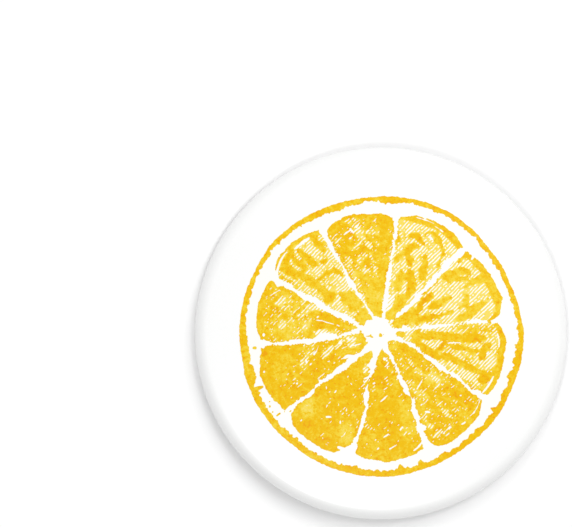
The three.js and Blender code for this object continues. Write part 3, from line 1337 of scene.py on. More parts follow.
STROKES_05 = (
    cut(0.3, (0.74, 17.65), (0.72, 17.65), (0.7, 17.65)),
    opened(0.36, 0.6, (0.2, 17.9), (0.05, 17.6), (-0.12, 17.2)),
    opened(0.36, 0.4, (0.46, 17.6), (0.4, 17.5), (0.3, 17.5)),
    cut(0.12, (-0.36, 17.9), (-0.55, 17.2), (-0.76, 16.4)),
    opened(0.4, 1.3, (-0.36, 15.8), (-0.5, 15.3), (-0.66, 14.7)),
    opened(0.36, 0.8, (-0.02, 15.2), (-0.12, 15), (-0.24, 14.8)),
    opened(0.5, 0.7, (0.4, 15.1), (0.36, 14.9), (0.32, 14.5)),
    opened(0.38, 0.7, (0.3, 13.1), (0.0, 13.5), (-0.4, 13.0)),
    opened(0.38, 0.9, (-0.45, 13.3), (-0.6, 13), (-0.72, 12.4)),
    opened(0.34, 0.8, (0.3, 12.3), (0.1, 12.2), (-0.1, 12.1)),
    opened(0.4, 1.0, (0.4, 11.2), (0.25, 11), (0.1, 10.8)),
    opened(0.5, 1.1, (-0.05, 12.6), (-0.2, 12), (-0.36, 11.4)),
    opened(0.36, 1.0, (-0.1, 14.2), (-0.3, 13.9), (-0.6, 13.7)),
    opened(0.3, 0.7, (0.85, 6.6), (0.7, 6), (0.5, 5.4)),
    opened(0.6, 1.6, (0.6, 9.3), (0.76, 8.8), (0.94, 8.2)),
    opened(0.48, 0.9, (-0.6, 11.4), (-0.62, 10), (-0.66, 8.4)),
    cut(0.2, (0.0, 9.7, 0.7), (-0.03, 8.8), (0.02, 8), (0.07, 7, 0.7)),
    cut(0.18, (0.1, 6.45), (0.16, 6.25), (0.2, 6.05)),
    bared(0.6, 0.7, (0.76, 9.3), (0.8, 8.8), (0.84, 8.0), (0.88, 7.2)),
    opened(0.5, 0.7, (0.92, 7.6), (0.84, 7.1), (0.8, 6.6)),
    opened(0.3, 0.3, (0.2, 4.9), (0.1, 4.9), (0, 4.9)),
    solid(1.2, (0.48, 9.9, 0.7), (0.25, 9.3), (0.24, 8)),
    solid(1.4, (-0.26, 10.6, 0.6), (-0.36, 8.6), (-0.3, 6.8)),
    dark(0.6, 0.9, (0.45, 9.6), (0.25, 9.3), (0.15, 8.8)),
    dark(0.6, 1.1, (-0.4, 8.8), (-0.42, 7.6), (-0.3, 6.6)),
    dark(0.5, 1.2, (0.1, 18.4), (0.05, 16.8), (-0.2, 16.6)),
    pale(0.5, 2.0, (0.6, 16), (0.65, 13.6), (0.6, 11.6)),
)
STROKES_06 = (
    cut(0.28, (-0.24, 18.8), (-0.25, 18.75), (-0.26, 18.7)),
    cut(0.14, (0.31, 17.4), (0.3, 17.2), (0.29, 17)),
    cut(0.34, (-0.03, 12.2), (-0.08, 12.1), (-0.14, 12.1)),
    opened(0.5, 0.4, (0.5, 14.7), (0.35, 14.8), (0.1, 14.6)),
    opened(0.4, 0.5, (0.02, 13.2), (-0.08, 12.9), (-0.16, 12.6)),
    opened(0.5, 1.2, (-0.18, 11.8), (-0.34, 11.1), (-0.6, 10.5)),
    opened(0.4, 0.5, (-0.5, 12.1), (-0.6, 12), (-0.68, 11.6)),
    opened(0.34, 0.9, (0.74, 12), (0.7, 10.8), (0.76, 9.2)),
    cut(0.4, (0.62, 7.3, 0.3), (0.67, 6.8, 0.7), (0.7, 6.3), (0.78, 5.9, 0.9), (0.88, 5.5, 0.5)),
    bared(0.6, 0.7, (0.58, 8.3), (0.63, 7.6), (0.7, 6.8)),
    solid(0.34, (0.78, 8.2), (0.8, 7.5), (0.84, 7), (0.86, 6.5)),
    opened(0.7, 0.45, (0.3, 9.5), (0.42, 8.9), (0.56, 8.4)),
    cut(0.2, (0.34, 9.2), (0.38, 9.05), (0.42, 8.9)),
    cut(0.22, (0.53, 8.6), (0.55, 8.5), (0.57, 8.4)),
    opened(0.75, 1.0, (0.08, 9.4), (-0.06, 8.6), (-0.2, 8)),
    cut(0.22, (-0.24, 10.7, 0.8), (-0.34, 10.1), (-0.55, 9.55)),
    cut(0.18, (-0.6, 8.3), (-0.61, 8.37), (-0.62, 8.44)),
    opened(0.5, 0.5, (-0.16, 8.0), (-0.2, 7.6), (-0.24, 7.3)),
    cut(0.12, (0.06, 5.5), (0.05, 6.1), (0.09, 6.7)),
    opened(0.8, 0.42, (-0.62, 5.1), (-0.42, 5.8), (-0.2, 7.0)),
    cut(0.13, (-0.55, 5.2), (-0.42, 5.8), (-0.3, 6.4)),
    opened(0.6, 0.5, (-0.44, 5.2), (-0.39, 4.5), (-0.28, 3.9)),
    cut(0.14, (-0.44, 4.9), (-0.39, 4.5), (-0.3, 4.1)),
    cut(0.17, (0.16, 4.8), (0.22, 4.5), (0.34, 3.95), (0.41, 3.4), (0.56, 3.3)),
    opened(0.7, 0.4, (0.1, 5.2), (0.2, 4.7), (0.3, 4.2)),
    cut(0.14, (-0.03, 2.88), (-0.04, 2.93), (-0.05, 2.98)),
    dark(0.6, 1.2, (0.45, 12), (0.3, 11), (0.1, 10.2)),
    dark(0.7, 1.0, (0.4, 8.8), (0.3, 8.5), (0.2, 8.3)),
    dark(0.9, 0.4, (-0.72, 18.1), (-0.78, 18), (-0.82, 17.9)),
    dark(0.8, 0.4, (0.54, 15.8), (0.54, 15.5), (0.52, 15.2)),
    dark(0.8, 0.35, (-0.36, 13.5), (-0.42, 13.4), (-0.48, 13.4)),
    pale(0.6, 2.4, (0.0, 16.6), (-0.2, 15.6), (-0.3, 14)),
)
STROKES_07 = (
    cut(0.16, (0.44, 18.8), (0.36, 18.9), (0.28, 19)),
    cut(0.12, (0.4, 19.4), (0.32, 19.35), (0.26, 19.3)),
    cut(0.09, (0.63, 16.4), (0.6, 17), (0.56, 17.4)),
    cut(0.36, (0.03, 15.3), (-0.02, 15.4), (-0.08, 15.6)),
    cut(0.17, (0.38, 15.5), (0.37, 15.35), (0.36, 15.2)),
    cut(0.12, (-0.26, 14.4), (-0.27, 14.2), (-0.28, 14.0)),
    opened(0.5, 0.4, (-0.26, 13.8), (-0.3, 13.2), (-0.34, 12.5)),
    cut(0.14, (-0.34, 11.8), (-0.34, 11.6), (-0.35, 11.4)),
    cut(0.14, (0.4, 13.4), (0.38, 13), (0.37, 12.7)),
    cut(0.16, (0.06, 13.2), (0.05, 13.1), (0.04, 12.9)),
    cut(0.19, (-0.7, 12.1), (-0.73, 12), (-0.76, 11.9)),
    opened(0.45, 0.5, (0.9, 15.4), (0.88, 14.8), (0.9, 14)),
    opened(0.5, 0.5, (0.94, 11), (0.88, 10.6), (0.82, 10.2)),
    opened(0.45, 0.4, (0.5, 11), (0.46, 10.5), (0.42, 10)),
    cut(0.3, (0.7, 18.95), (0.63, 19.05), (0.57, 19.05)),
    bared(1.0, 1.0, (0.86, 3.5), (0.9, 4.3), (0.84, 5.0), (0.7, 6.0), (0.84, 7.0), (0.8, 8.2)),
    cut(0.3, (0.9, 4.5), (0.78, 5.1), (0.66, 5.8)),
    cut(0.2, (1.0, 7.3), (0.87, 7.9), (0.74, 8.4)),
    cut(0.24, (0.9, 7.35), (0.8, 7.6), (0.68, 7.85)),
    opened(0.5, 0.5, (0.5, 5.6), (0.42, 6.2), (0.5, 6.8)),
    cut(0.11, (0.12, 9.35), (0.08, 9.3), (0.04, 9.25)),
    dark(0.9, 0.5, (0.02, 17.2), (-0.03, 17), (-0.08, 16.8)),
    dark(0.9, 0.4, (0.2, 16.1), (0.17, 16), (0.14, 15.9)),
    dark(0.7, 0.4, (0.08, 19.7), (0.05, 19.5), (0.03, 19.2)),
    dark(0.6, 0.5, (-0.4, 18), (-0.45, 17.8), (-0.5, 17.6)),
    pale(1.6, 2.2, (0.66, 17.2), (0.64, 16.6), (0.66, 16)),
    pale(1.5, 1.9, (-0.62, 17), (-0.66, 16.2), (-0.68, 15.4)),
)
STROKES_08 = (
    cut(0.28, (0.98, 18.2), (0.85, 18.6), (0.71, 19.05), (0.6, 19.3)),
    cut(0.12, (0.16, 17.85), (0.06, 18.1), (-0.04, 18.35)),
    cut(0.16, (0.44, 15.35), (0.4, 15.5), (0.36, 15.7)),
    cut(0.16, (-0.04, 16.1), (-0.12, 16.3), (-0.2, 16.5)),
    cut(0.12, (-0.08, 14.9), (-0.12, 15.05), (-0.18, 15.2)),
    cut(0.11, (0.06, 10.2), (-0.1, 10.6), (-0.26, 11)),
    cut(0.1, (0.26, 8.7), (0.08, 9), (-0.1, 9.3)),
    opened(0.5, 0.6, (0.2, 8.4), (0.16, 7.8), (0.12, 7.2)),
    opened(0.48, 0.5, (-0.26, 17.6), (-0.32, 17.4), (-0.36, 17)),
    opened(0.48, 0.5, (0.48, 16.4), (0.3, 16.6), (0.2, 16.6)),
    opened(0.48, 0.5, (-0.6, 15), (-0.7, 14.9), (-0.82, 14.9)),
    opened(0.48, 0.5, (-0.58, 9.2), (-0.66, 9.3), (-0.74, 9.5)),
    cut(0.34, (0.27, 4.5), (0.29, 4.55), (0.31, 4.6)),
    cut(0.28, (0.48, 4.84), (0.5, 4.89), (0.51, 4.94)),
    cut(0.22, (0.62, 5.2), (0.36, 5.62), (0.2, 5.75)),
    cut(0.24, (0.58, 5.8), (0.4, 5.85), (0.38, 6.1)),
    dark(0.7, 0.4, (0.3, 15.1), (0.2, 15), (0.12, 15)),
    dark(0.5, 1.4, (0.0, 9), (-0.3, 7.6), (-0.3, 6.2)),
    dark(0.4, 1.2, (0.1, 17.8), (0.0, 15.6), (-0.3, 12)),
    pale(0.6, 1.8, (0.76, 16.4), (0.72, 14), (0.74, 11.6)),
    pale(0.4, 1.4, (-0.6, 18), (-0.6, 16.8), (-0.66, 16)),
    pale(0.5, 0.9, (0.7, 9.2), (0.6, 8.6), (0.56, 8)),
)
STROKES_09 = (
    cut(0.18, (0.86, 18.8), (0.7, 19.1), (0.5, 19.3), (0.33, 19.3)),
    cut(0.2, (0.19, 19.45), (0.12, 19.4), (0.05, 19.3)),
    cut(0.22, (-0.36, 19.15), (-0.42, 19.2), (-0.48, 19.25)),
    cut(0.11, (-0.1, 18.3), (-0.4, 18.6), (-0.64, 18.9)),
    cut(0.14, (0.2, 16.65), (0.18, 16.6), (0.16, 16.55)),
    cut(0.36, (-0.52, 14.9), (-0.56, 14.7), (-0.62, 14.5)),
    cut(0.09, (0.3, 14.1), (0.24, 14.05), (0.16, 14)),
    cut(0.11, (0.02, 10.1), (-0.2, 10.4), (-0.46, 10.8)),
    opened(0.44, 0.6, (-0.52, 18.3), (-0.64, 18.4), (-0.74, 18.5)),
    opened(0.36, 0.7, (-0.06, 17.4), (-0.1, 15.6), (-0.08, 14)),
    opened(0.4, 0.5, (0.38, 15.8), (0.28, 15.8), (0.2, 15.7)),
    opened(0.44, 0.4, (0.4, 12.4), (0.26, 12.5), (0.1, 12.4)),
    opened(0.4, 0.9, (0.44, 12), (0.42, 11.2), (0.3, 10.4)),
    opened(0.36, 0.9, (-0.26, 12.6), (-0.4, 11.9), (-0.56, 11.2)),
    opened(0.5, 0.7, (0.16, 9.5), (0.12, 9), (0.06, 8.3)),
    opened(0.5, 0.6, (0.16, 7.5), (0.12, 7), (0.08, 6.4)),
    opened(0.44, 0.5, (-0.5, 9.6), (-0.6, 9.2), (-0.72, 9.2)),
    opened(0.4, 0.3, (-0.2, 5.6), (-0.4, 5.6), (-0.6, 5.6)),
    opened(0.4, 0.7, (-0.72, 17), (-0.74, 16), (-0.72, 15.2)),
    dark(0.5, 0.8, (-0.6, 17.9), (-0.66, 17.7), (-0.7, 17.6)),
    dark(0.6, 0.6, (-0.6, 15.7), (-0.66, 15.6), (-0.7, 15.5)),
    dark(0.5, 1.2, (0.62, 18), (0.6, 16.4), (0.56, 15)),
    pale(0.7, 1.6, (0.24, 19.4), (0.22, 18.6), (0.24, 17.8)),
    pale(0.7, 1.6, (-0.7, 15), (-0.74, 14), (-0.7, 13)),
    pale(0.7, 2.4, (0.5, 11.8), (0.45, 11.4), (0.3, 11)),
)
STROKES_10 = (
    cut(0.3, (-0.48, 18.98), (-0.72, 18.88), (-1.0, 18.6)),
    cut(0.25, (0.62, 18.2), (0.45, 18.5), (0.3, 18.6)),
    cut(0.3, (0.1, 17.15), (0.08, 17.1), (0.05, 17.0)),
    opened(0.6, 1.2, (0.0, 18.3), (-0.15, 17.7), (-0.3, 17)),
    partly(0.08, 1.4, (0.8, 17.4), (0.8, 15.4), (0.8, 12.8)),
    solid(1.2, (0.3, 16.8, 0.7), (0.1, 16.4), (-0.1, 16.3, 0.6)),
    solid(1.2, (-0.46, 18.3, 0.7), (-0.58, 17.9), (-0.72, 17.6)),
    solid(1.1, (0.5, 16.2, 0.8), (0.46, 14), (0.42, 12), (0.4, 10)),
    solid(0.6, (0.06, 15.4), (0.05, 13.6), (0.02, 12)),
    solid(1.0, (-0.5, 17.2), (-0.5, 14.4, 0.8), (-0.46, 12), (-0.46, 10.4)),
    solid(1.3, (0.42, 10.4), (0.38, 8.4, 0.9), (0.34, 6.4)),
    solid(0.7, (0.14, 10.4, 0.6), (-0.2, 9.9), (-0.6, 9.3)),
    solid(1.2, (-0.56, 10.8, 0.8), (-0.7, 9.4), (-0.68, 8.2), (-0.45, 6.8)),
    solid(0.9, (0.75, 5.9), (0.1, 5.8), (-0.45, 6)),
    solid(1.1, (0.6, 3.4, 0.7), (0, 3.3), (-0.6, 3.4, 0.7)),
    opened(0.35, 1.1, (-0.8, 16.6), (-0.8, 14.6), (-0.82, 12.6)),
    opened(0.2, 1.5, (-0.06, 8.9), (-0.2, 8.0), (-0.2, 6.9)),
    opened(0.3, 1.0, (0.88, 10.4), (0.85, 8.6), (0.74, 6.8)),
    opened(0.3, 0.5, (0.5, 4.9), (0, 4.7), (-0.5, 4.6)),
    cut(0.14, (0.24, 12.6), (0.2, 11.6), (0.12, 10.6)),
    dark(1.1, 0.45, (-0.06, 16.8), (-0.11, 16.7), (-0.15, 16.6)),
    dark(0.6, 0.6, (0.4, 15.3), (0.38, 15), (0.36, 14.6)),
    dark(0.5, 1.0, (-0.5, 18.1), (-0.62, 17.8), (-0.72, 17.4)),
    dark(0.6, 0.7, (0.1, 10.3), (-0.2, 9.9), (-0.7, 9.2)),
    pale(0.6, 0.8, (0.42, 9.5), (0.4, 9.2), (0.38, 8.9)),
    pale(0.5, 0.6, (-0.55, 16.8), (-0.54, 16.2), (-0.52, 15.8)),
)

WEDGES = (
    WedgeInk(
        tip=(2.0, 2.0),
        corners=(1.9, 1.0),
        crown=(18.9, 19.65, 19.4, 19.15, 19.05, 18.7),
        openness=0.44,
        unevenness=0.1,
        band=(0.9, 1.15, 1.1, 1.0, 0.95, 0.9),
        wash=(0.75, 0.55, 0.15, 0.6, 0.7, 0.6),
        strokes=STROKES_01,
    ),
    WedgeInk(
        tip=(1.95, 2.1),
        corners=(0.6, 0.3),
        crown=(18.95, 19.3, 19.47, 19.38, 19.1, 18.6),
        openness=0.42,
        unevenness=0.12,
        band=(0.9, 1.15, 1.1, 1.0, 0.65, 0.4),
        wash=(0.85, 0.8, 0.55, 0.45, 0.4, 0.35),
        strokes=STROKES_02,
    ),
    WedgeInk(
        tip=(2.0, 2.0),
        corners=(0.4, 1.6),
        crown=(18.4, 18.8, 18.8, 19.1, 18.85, 18.5),
        openness=-0.06,
        unevenness=0.2,
        band=(0.45,) * len(CROWN_SHARES),
        wash=(0.9, 0.9, 0.5, 0.35, 0.35, 0.2),
        flecks=14,
        strokes=STROKES_03,
    ),
    WedgeInk(
        tip=(1.75, 2.5),
        corners=(0.5, 0.9),
        crown=(18.95, 19.25, 19.55, 19.75, 19.7, 19.05),
        openness=0.34,
        unevenness=0.14,
        band=(0.6, 0.5, 0.4, 0.4, 0.4, 0.4),
        wash=(0.8, 0.75, 0.55, 0.5, 0.45, 0.35),
        strokes=STROKES_04,
    ),
    WedgeInk(
        tip=(2.7, 2.9),
        corners=(0.6, 0.8),
        crown=(19.1, 19.25, 19.35, 19.2, 18.95, 18.5),
        openness=-0.08,
        unevenness=0.18,
        band=(0.6,) * len(CROWN_SHARES),
        wash=(0.9, 0.55, 0.4, 0.65, 0.55, 0.4),
        flecks=6,
        strokes=STROKES_05,
    ),
    WedgeInk(
        tip=(2.45, 2.5),
        corners=(0.4, 0.5),
        crown=(18.5, 18.9, 19.4, 19.3, 19.05, 18.7),
        openness=-0.2,
        unevenness=0.18,
        band=(0.6,) * len(CROWN_SHARES),
        wash=(0.8, 0.6, 0.2, 0.15, 0.3, 0.2),
        flecks=8,
        strokes=STROKES_06,
    ),
    WedgeInk(
        tip=(4.0, 3.15),
        corners=(1.6, 1.8),
        crown=(18.7, 19.4, 19.5, 19.45, 19.3, 17.7),
        openness=-0.3,
        unevenness=0.2,
        band=(0.6,) * len(CROWN_SHARES),
        wash=(0.75, 0.6, 0.2, 0.15, 0.25, 0.2),
        flecks=5,
        strokes=STROKES_07,
    ),
    WedgeInk(
        tip=(2.85, 2.5),
        corners=(0.6, 0.8),
        crown=(18.85, 19.2, 19.4, 19.1, 19.1, 18.65),
        openness=-0.24,
        unevenness=0.2,
        band=(0.4,) * len(CROWN_SHARES),
        wash=(0.75, 0.3, 0.25, 0.3, 0.3, 0.4),
        flecks=6,
        bridge=(7.9, 9.6),
        strokes=STROKES_08,
    ),
    WedgeInk(
        tip=(1.7, 3.0),
        corners=(3.9, 0.8),
        crown=(19.25, 19.55, 19.55, 19.5, 19.5, 18.6),
        openness=-0.08,
        unevenness=0.18,
        band=(0.4,) * len(CROWN_SHARES),
        wash=(0.75, 0.25, 0.3, 0.4, 0.3, 0.25),
        flecks=10,
        strokes=STROKES_09,
    ),
    WedgeInk(
        tip=(2.6, 2.6),
        corners=(0.6, 1.5),
        crown=(19.0, 19.15, 19.3, 19.25, 19.35, 18.6),
        openness=0.3,
        unevenness=0.14,
        band=(0.7, 0.7, 0.8, 0.9, 0.9, 0.6),
        wash=(0.85, 0.5, 0.15, 0.15, 0.3, 0.3),
        strokes=STROKES_10,
    ),
)


class WedgeDrawing:
    """Works out where the ink of one wedge is, and how thin it is."""

    # The strokes: the points of their lines from place to place, how slim their ends are, and the
    # depths between which each kind fades in.
    STEPS_BETWEEN = 5
    SLIMMEST = 0.75
    FADES = {
        Mark.SOLID: (-0.14, 0.14),
        Mark.OPEN: (-0.35, 0.25),
        Mark.BARE: (-0.35, 0.25),
        Mark.PALE: (-0.6, 0.4),
        Mark.DARK: (-0.6, 0.4),
    }
    CUT_WARP = 0.3
    STROKE_MARGIN = 0.8

    # The flecks: how far out and across they lie, and how they stretch along the screen's lines.
    FLECK_SEED = 100
    FLECK_REACH = (0.15, 0.9)
    FLECK_SHARE = (-0.85, 0.85)
    FLECK_RADIUS = (0.05, 0.12)
    FLECK_LEAN = (0.42, 0.85)
    FLECK_WINDOW = 3
    FLECK_ROUGHNESS = 0.5

    # The outline, and the box round it.
    BOX_MARGIN = 0.5
    CROWN_MARGIN = 1.2
    CROWN_POINTS = 9
    LEAST_DISTANCE = 1.0
    RIM_ROUGHNESS = 0.6
    BRIDGE_BLUR = 0.4
    BRIDGE_GAP = 0.01

    # The tone: 0 is solid and 1 is open.
    MOST_OPEN = 0.6
    COVERING = 1.6
    BARING = 0.5
    BAND_WAVE = Grain(11, 0.3, 1.3)
    BAND_FADE = (0.25, -0.15)
    PATCHES = Grain(10)
    PATCH_SIZE = 1.5
    PATCH_SHIFT = (7.0, 0.6)  # from wedge to wedge: along, and how much of that across

    # The wash, which is thinner where the ink is open.
    OPEN_RANGE = (0.08, 0.45)
    OPEN_THINNING = 1.8
    PALE_THINNING = 0.8

    def __init__(self, index: int, fruit: Fruit, texture: Texture) -> None:
        """Takes the wedge between two membranes.

        Args:
            index: The wedge's number, from 0, anticlockwise.
            fruit: The layout.
            texture: The look of the ink.
        """
        self.index = index
        self.fruit = fruit
        self.texture = texture
        self.ink = WEDGES[index]
        self.start = MEMBRANES[index]
        self.end = MEMBRANES[(index + 1) % len(MEMBRANES)]

    def spread(self, distance: Array | float) -> tuple[Array, Array]:
        """Where the wedge lies, seen from the core.

        Args:
            distance: The distance from the core.

        Returns:
            The direction of its middle there, and half its angle.
        """
        start = self.start.angle(distance)
        width = np.mod(self.end.angle(distance) - start, TURN)
        return start + width / 2, width / 2

    def place(self, share: float, distance: float) -> Point:
        """Finds a polar place on the face.

        Args:
            share: The share of the way across the wedge.
            distance: The distance from the core.

        Returns:
            The point.
        """
        middle, half = self.spread(distance)
        angle = float(middle + share * half)
        core = self.fruit.core
        return core[0] + distance * math.cos(angle), core[1] + distance * math.sin(angle)

    def box(self) -> tuple[Point, Point]:
        """Frames the wedge.

        Returns:
            The lower left and the upper right corner.
        """
        reach = max(self.ink.crown) + self.CROWN_MARGIN
        rim = [self.place(share, reach) for share in np.linspace(-1.0, 1.0, self.CROWN_POINTS)]
        points = np.array([*rim, self.fruit.core])
        low = points.min(axis=0) - self.BOX_MARGIN
        high = points.max(axis=0) + self.BOX_MARGIN
        return (low[0], low[1]), (high[0], high[1])

    def line(self, stroke: Stroke) -> Array:
        """Runs a Catmull-Rom curve through the places of a stroke.

        Args:
            stroke: The stroke.

        Returns:
            Points along the curve.
        """
        knots = np.array([self.place(*step[:2]) for step in stroke.path])
        knots = np.concatenate([2 * knots[:1] - knots[1:2], knots, 2 * knots[-1:] - knots[-2:-1]])
        share = np.linspace(0.0, 1.0, self.STEPS_BETWEEN, endpoint=False)[:, None]
        parts = []
        for a, b, c, d in zip(knots, knots[1:], knots[2:], knots[3:]):
            bend = (2 * a - 5 * b + 4 * c - d) * share**2 + (3 * b - a - 3 * c + d) * share**3
            parts.append(b + ((c - a) * share + bend) / 2)
        return np.concatenate([*parts, knots[-2:-1]])

    def inside(self, stroke: Stroke, raster: Raster) -> tuple[tuple[slice, slice], Array]:
        """How deep the places near a stroke are inside it.

        Args:
            stroke: The stroke.
            raster: The grid.

        Returns:
            The part of the grid near the stroke, and the depth in millimetres there.
        """
        line = self.line(stroke)
        window = raster.window(line, stroke.width / 2 + self.STROKE_MARGIN)
        x = raster.x[window]
        y = raster.y[window]
        depth = np.full(x.shape, FAR_OUT)
        steps = len(line) - 1
        shares = [step[2] if len(step) > 2 else 1.0 for step in stroke.path]
        along = np.arange(steps + 1) / self.STEPS_BETWEEN
        halves = np.interp(along, range(len(shares)), shares) * stroke.width / 2
        for number, (a, b) in enumerate(zip(line, line[1:])):
            share, off = near_line(x, y, a, b)
            reach = halves[number] + (halves[number + 1] - halves[number]) * share
            swell = (1 - self.SLIMMEST) * np.sin(math.pi * (number + share) / steps)
            depth = np.maximum(depth, reach * (self.SLIMMEST + swell) - off)
        return window, depth

    def brushed(self, raster: Raster) -> dict[Mark, Array]:
        """What the strokes do.

        Args:
            raster: The grid.

        Returns:
            For each mark, how strong it is at each place, from 0 to 1; for the cuts, how deep the
            place is in one.
        """
        shape = raster.x.shape
        done = {mark: np.full(shape, FAR_OUT if mark is Mark.CUT else 0.0) for mark in Mark}
        warp = self.texture.warp(raster.x, raster.y)
        for stroke in self.ink.strokes:
            window, depth = self.inside(stroke, raster)
            if stroke.mark is Mark.CUT:
                value = depth + self.CUT_WARP * warp[window]
            else:
                value = stroke.strength * ramp(depth + warp[window], *self.FADES[stroke.mark])
            done[stroke.mark][window] = np.maximum(done[stroke.mark][window], value)
        return done

    def flecks(self, raster: Raster) -> Array:
        """Scatters small white flecks, which lie along the screen's lines.

        Args:
            raster: The grid.

        Returns:
            How deep each place is in a fleck.
        """
        draw = np.random.default_rng(self.FLECK_SEED + self.index)
        depth = np.full(raster.x.shape, FAR_OUT)
        for _ in range(self.ink.flecks):
            reach = max(self.ink.crown) * math.sqrt(draw.uniform(*self.FLECK_REACH))
            x, y = self.place(draw.uniform(*self.FLECK_SHARE), reach)
            radius = draw.uniform(*self.FLECK_RADIUS)
            window = raster.window(np.array([(x, y)]), self.FLECK_WINDOW * radius)
            dx = raster.x[window] - x
            dy = raster.y[window] - y
            off = np.hypot((dx + dy) * self.FLECK_LEAN[0], (dy - dx) * self.FLECK_LEAN[1])
            depth[window] = np.maximum(depth[window], radius - off)
        return depth + self.FLECK_ROUGHNESS * self.texture.ragged(raster.x, raster.y)

    def sides(self, distance: Array, half: Array, off: Array, rough: Array) -> Array:
        """How deep each place is between the wedge's two membranes.

        Args:
            distance: How far it is from the core.
            half: Half the wedge's angle there.
            off: Its angle from the middle of the wedge.
            rough: The unevenness of the edge.

        Returns:
            The depth.
        """
        beside = self.start.edge(distance, 1)
        first = (half + off) * distance - beside
        hold = np.ones(distance.shape)
        if self.ink.bridge:
            near, far = self.ink.bridge
            blur = self.BRIDGE_BLUR
            within = ramp(distance, near - blur, near + blur) * ramp(distance, far + blur, far - blur)
            first = first + within * (beside - self.BRIDGE_GAP)
            hold = 1 - within
        last = (half - off) * distance - self.end.edge(distance, -1)
        return np.minimum(first + hold * rough, last + rough)

    def rim(self, x: Array, y: Array, share: Array) -> Array:
        """How far each place is inside the wedge's outer end.

        Args:
            x: The places across.
            y: The places up.
            share: Their shares of the way across the wedge.

        Returns:
            The depth.
        """
        ink = self.ink
        centre = self.fruit.centre
        corner = np.where(share < 0, ink.corners[0], ink.corners[1])
        crown = np.interp(share, CROWN_SHARES, ink.crown)
        crown = crown - corner * np.abs(share) ** self.fruit.corner_power
        return crown - np.hypot(x - centre[0], y - centre[1])

    def draw(self, raster: Raster) -> Inked:
        """Draws the wedge.

        Args:
            raster: The grid.

        Returns:
            Its ink.
        """
        x = raster.x
        y = raster.y
        core = self.fruit.core
        ink = self.ink
        texture = self.texture
        distance = np.maximum(np.hypot(x - core[0], y - core[1]), self.LEAST_DISTANCE)
        angle = np.arctan2(y - core[1], x - core[0])
        middle, half = self.spread(distance)
        off = turned_from(angle, middle)
        share = np.clip(off / half, -1.0, 1.0)
        rough = texture.ragged(x, y) + texture.fine(x, y) + texture.wobble(x, y)
        rim = self.rim(x, y, share)
        tip = distance - (sum(ink.tip) / 2 + (ink.tip[1] - ink.tip[0]) / 2 * share)
        ends = np.minimum(rim + self.RIM_ROUGHNESS * rough, tip + rough)
        depth = np.minimum(self.sides(distance, half, off, rough), ends)
        brushed = self.brushed(raster)
        shift = self.PATCH_SHIFT[0] * self.index
        up = y / self.PATCH_SIZE + self.PATCH_SHIFT[1] * shift
        patch = self.PATCHES(x / self.PATCH_SIZE + shift, up)
        band = np.interp(share, CROWN_SHARES, ink.band)
        banded = ramp(rim + self.BAND_WAVE(x, y) - band, *self.BAND_FADE)
        cover = np.maximum(brushed[Mark.SOLID], banded)
        bare = brushed[Mark.BARE]
        tone = np.minimum(ink.openness + brushed[Mark.OPEN], self.MOST_OPEN)
        tone = tone + ink.unevenness * patch - self.COVERING * cover * (1 - bare) + self.BARING * bare
        white = np.maximum(texture.white(x, y, tone, bare), brushed[Mark.CUT])
        white = np.maximum(white, self.flecks(raster))
        wash = np.interp(distance, WASH_PLACES, ink.wash)
        wash = wash + self.OPEN_THINNING * ramp(tone, *self.OPEN_RANGE) * (1 - cover)
        wash = wash + self.PALE_THINNING * brushed[Mark.PALE] - brushed[Mark.DARK]
        return Inked(np.minimum(depth, -white), wash)


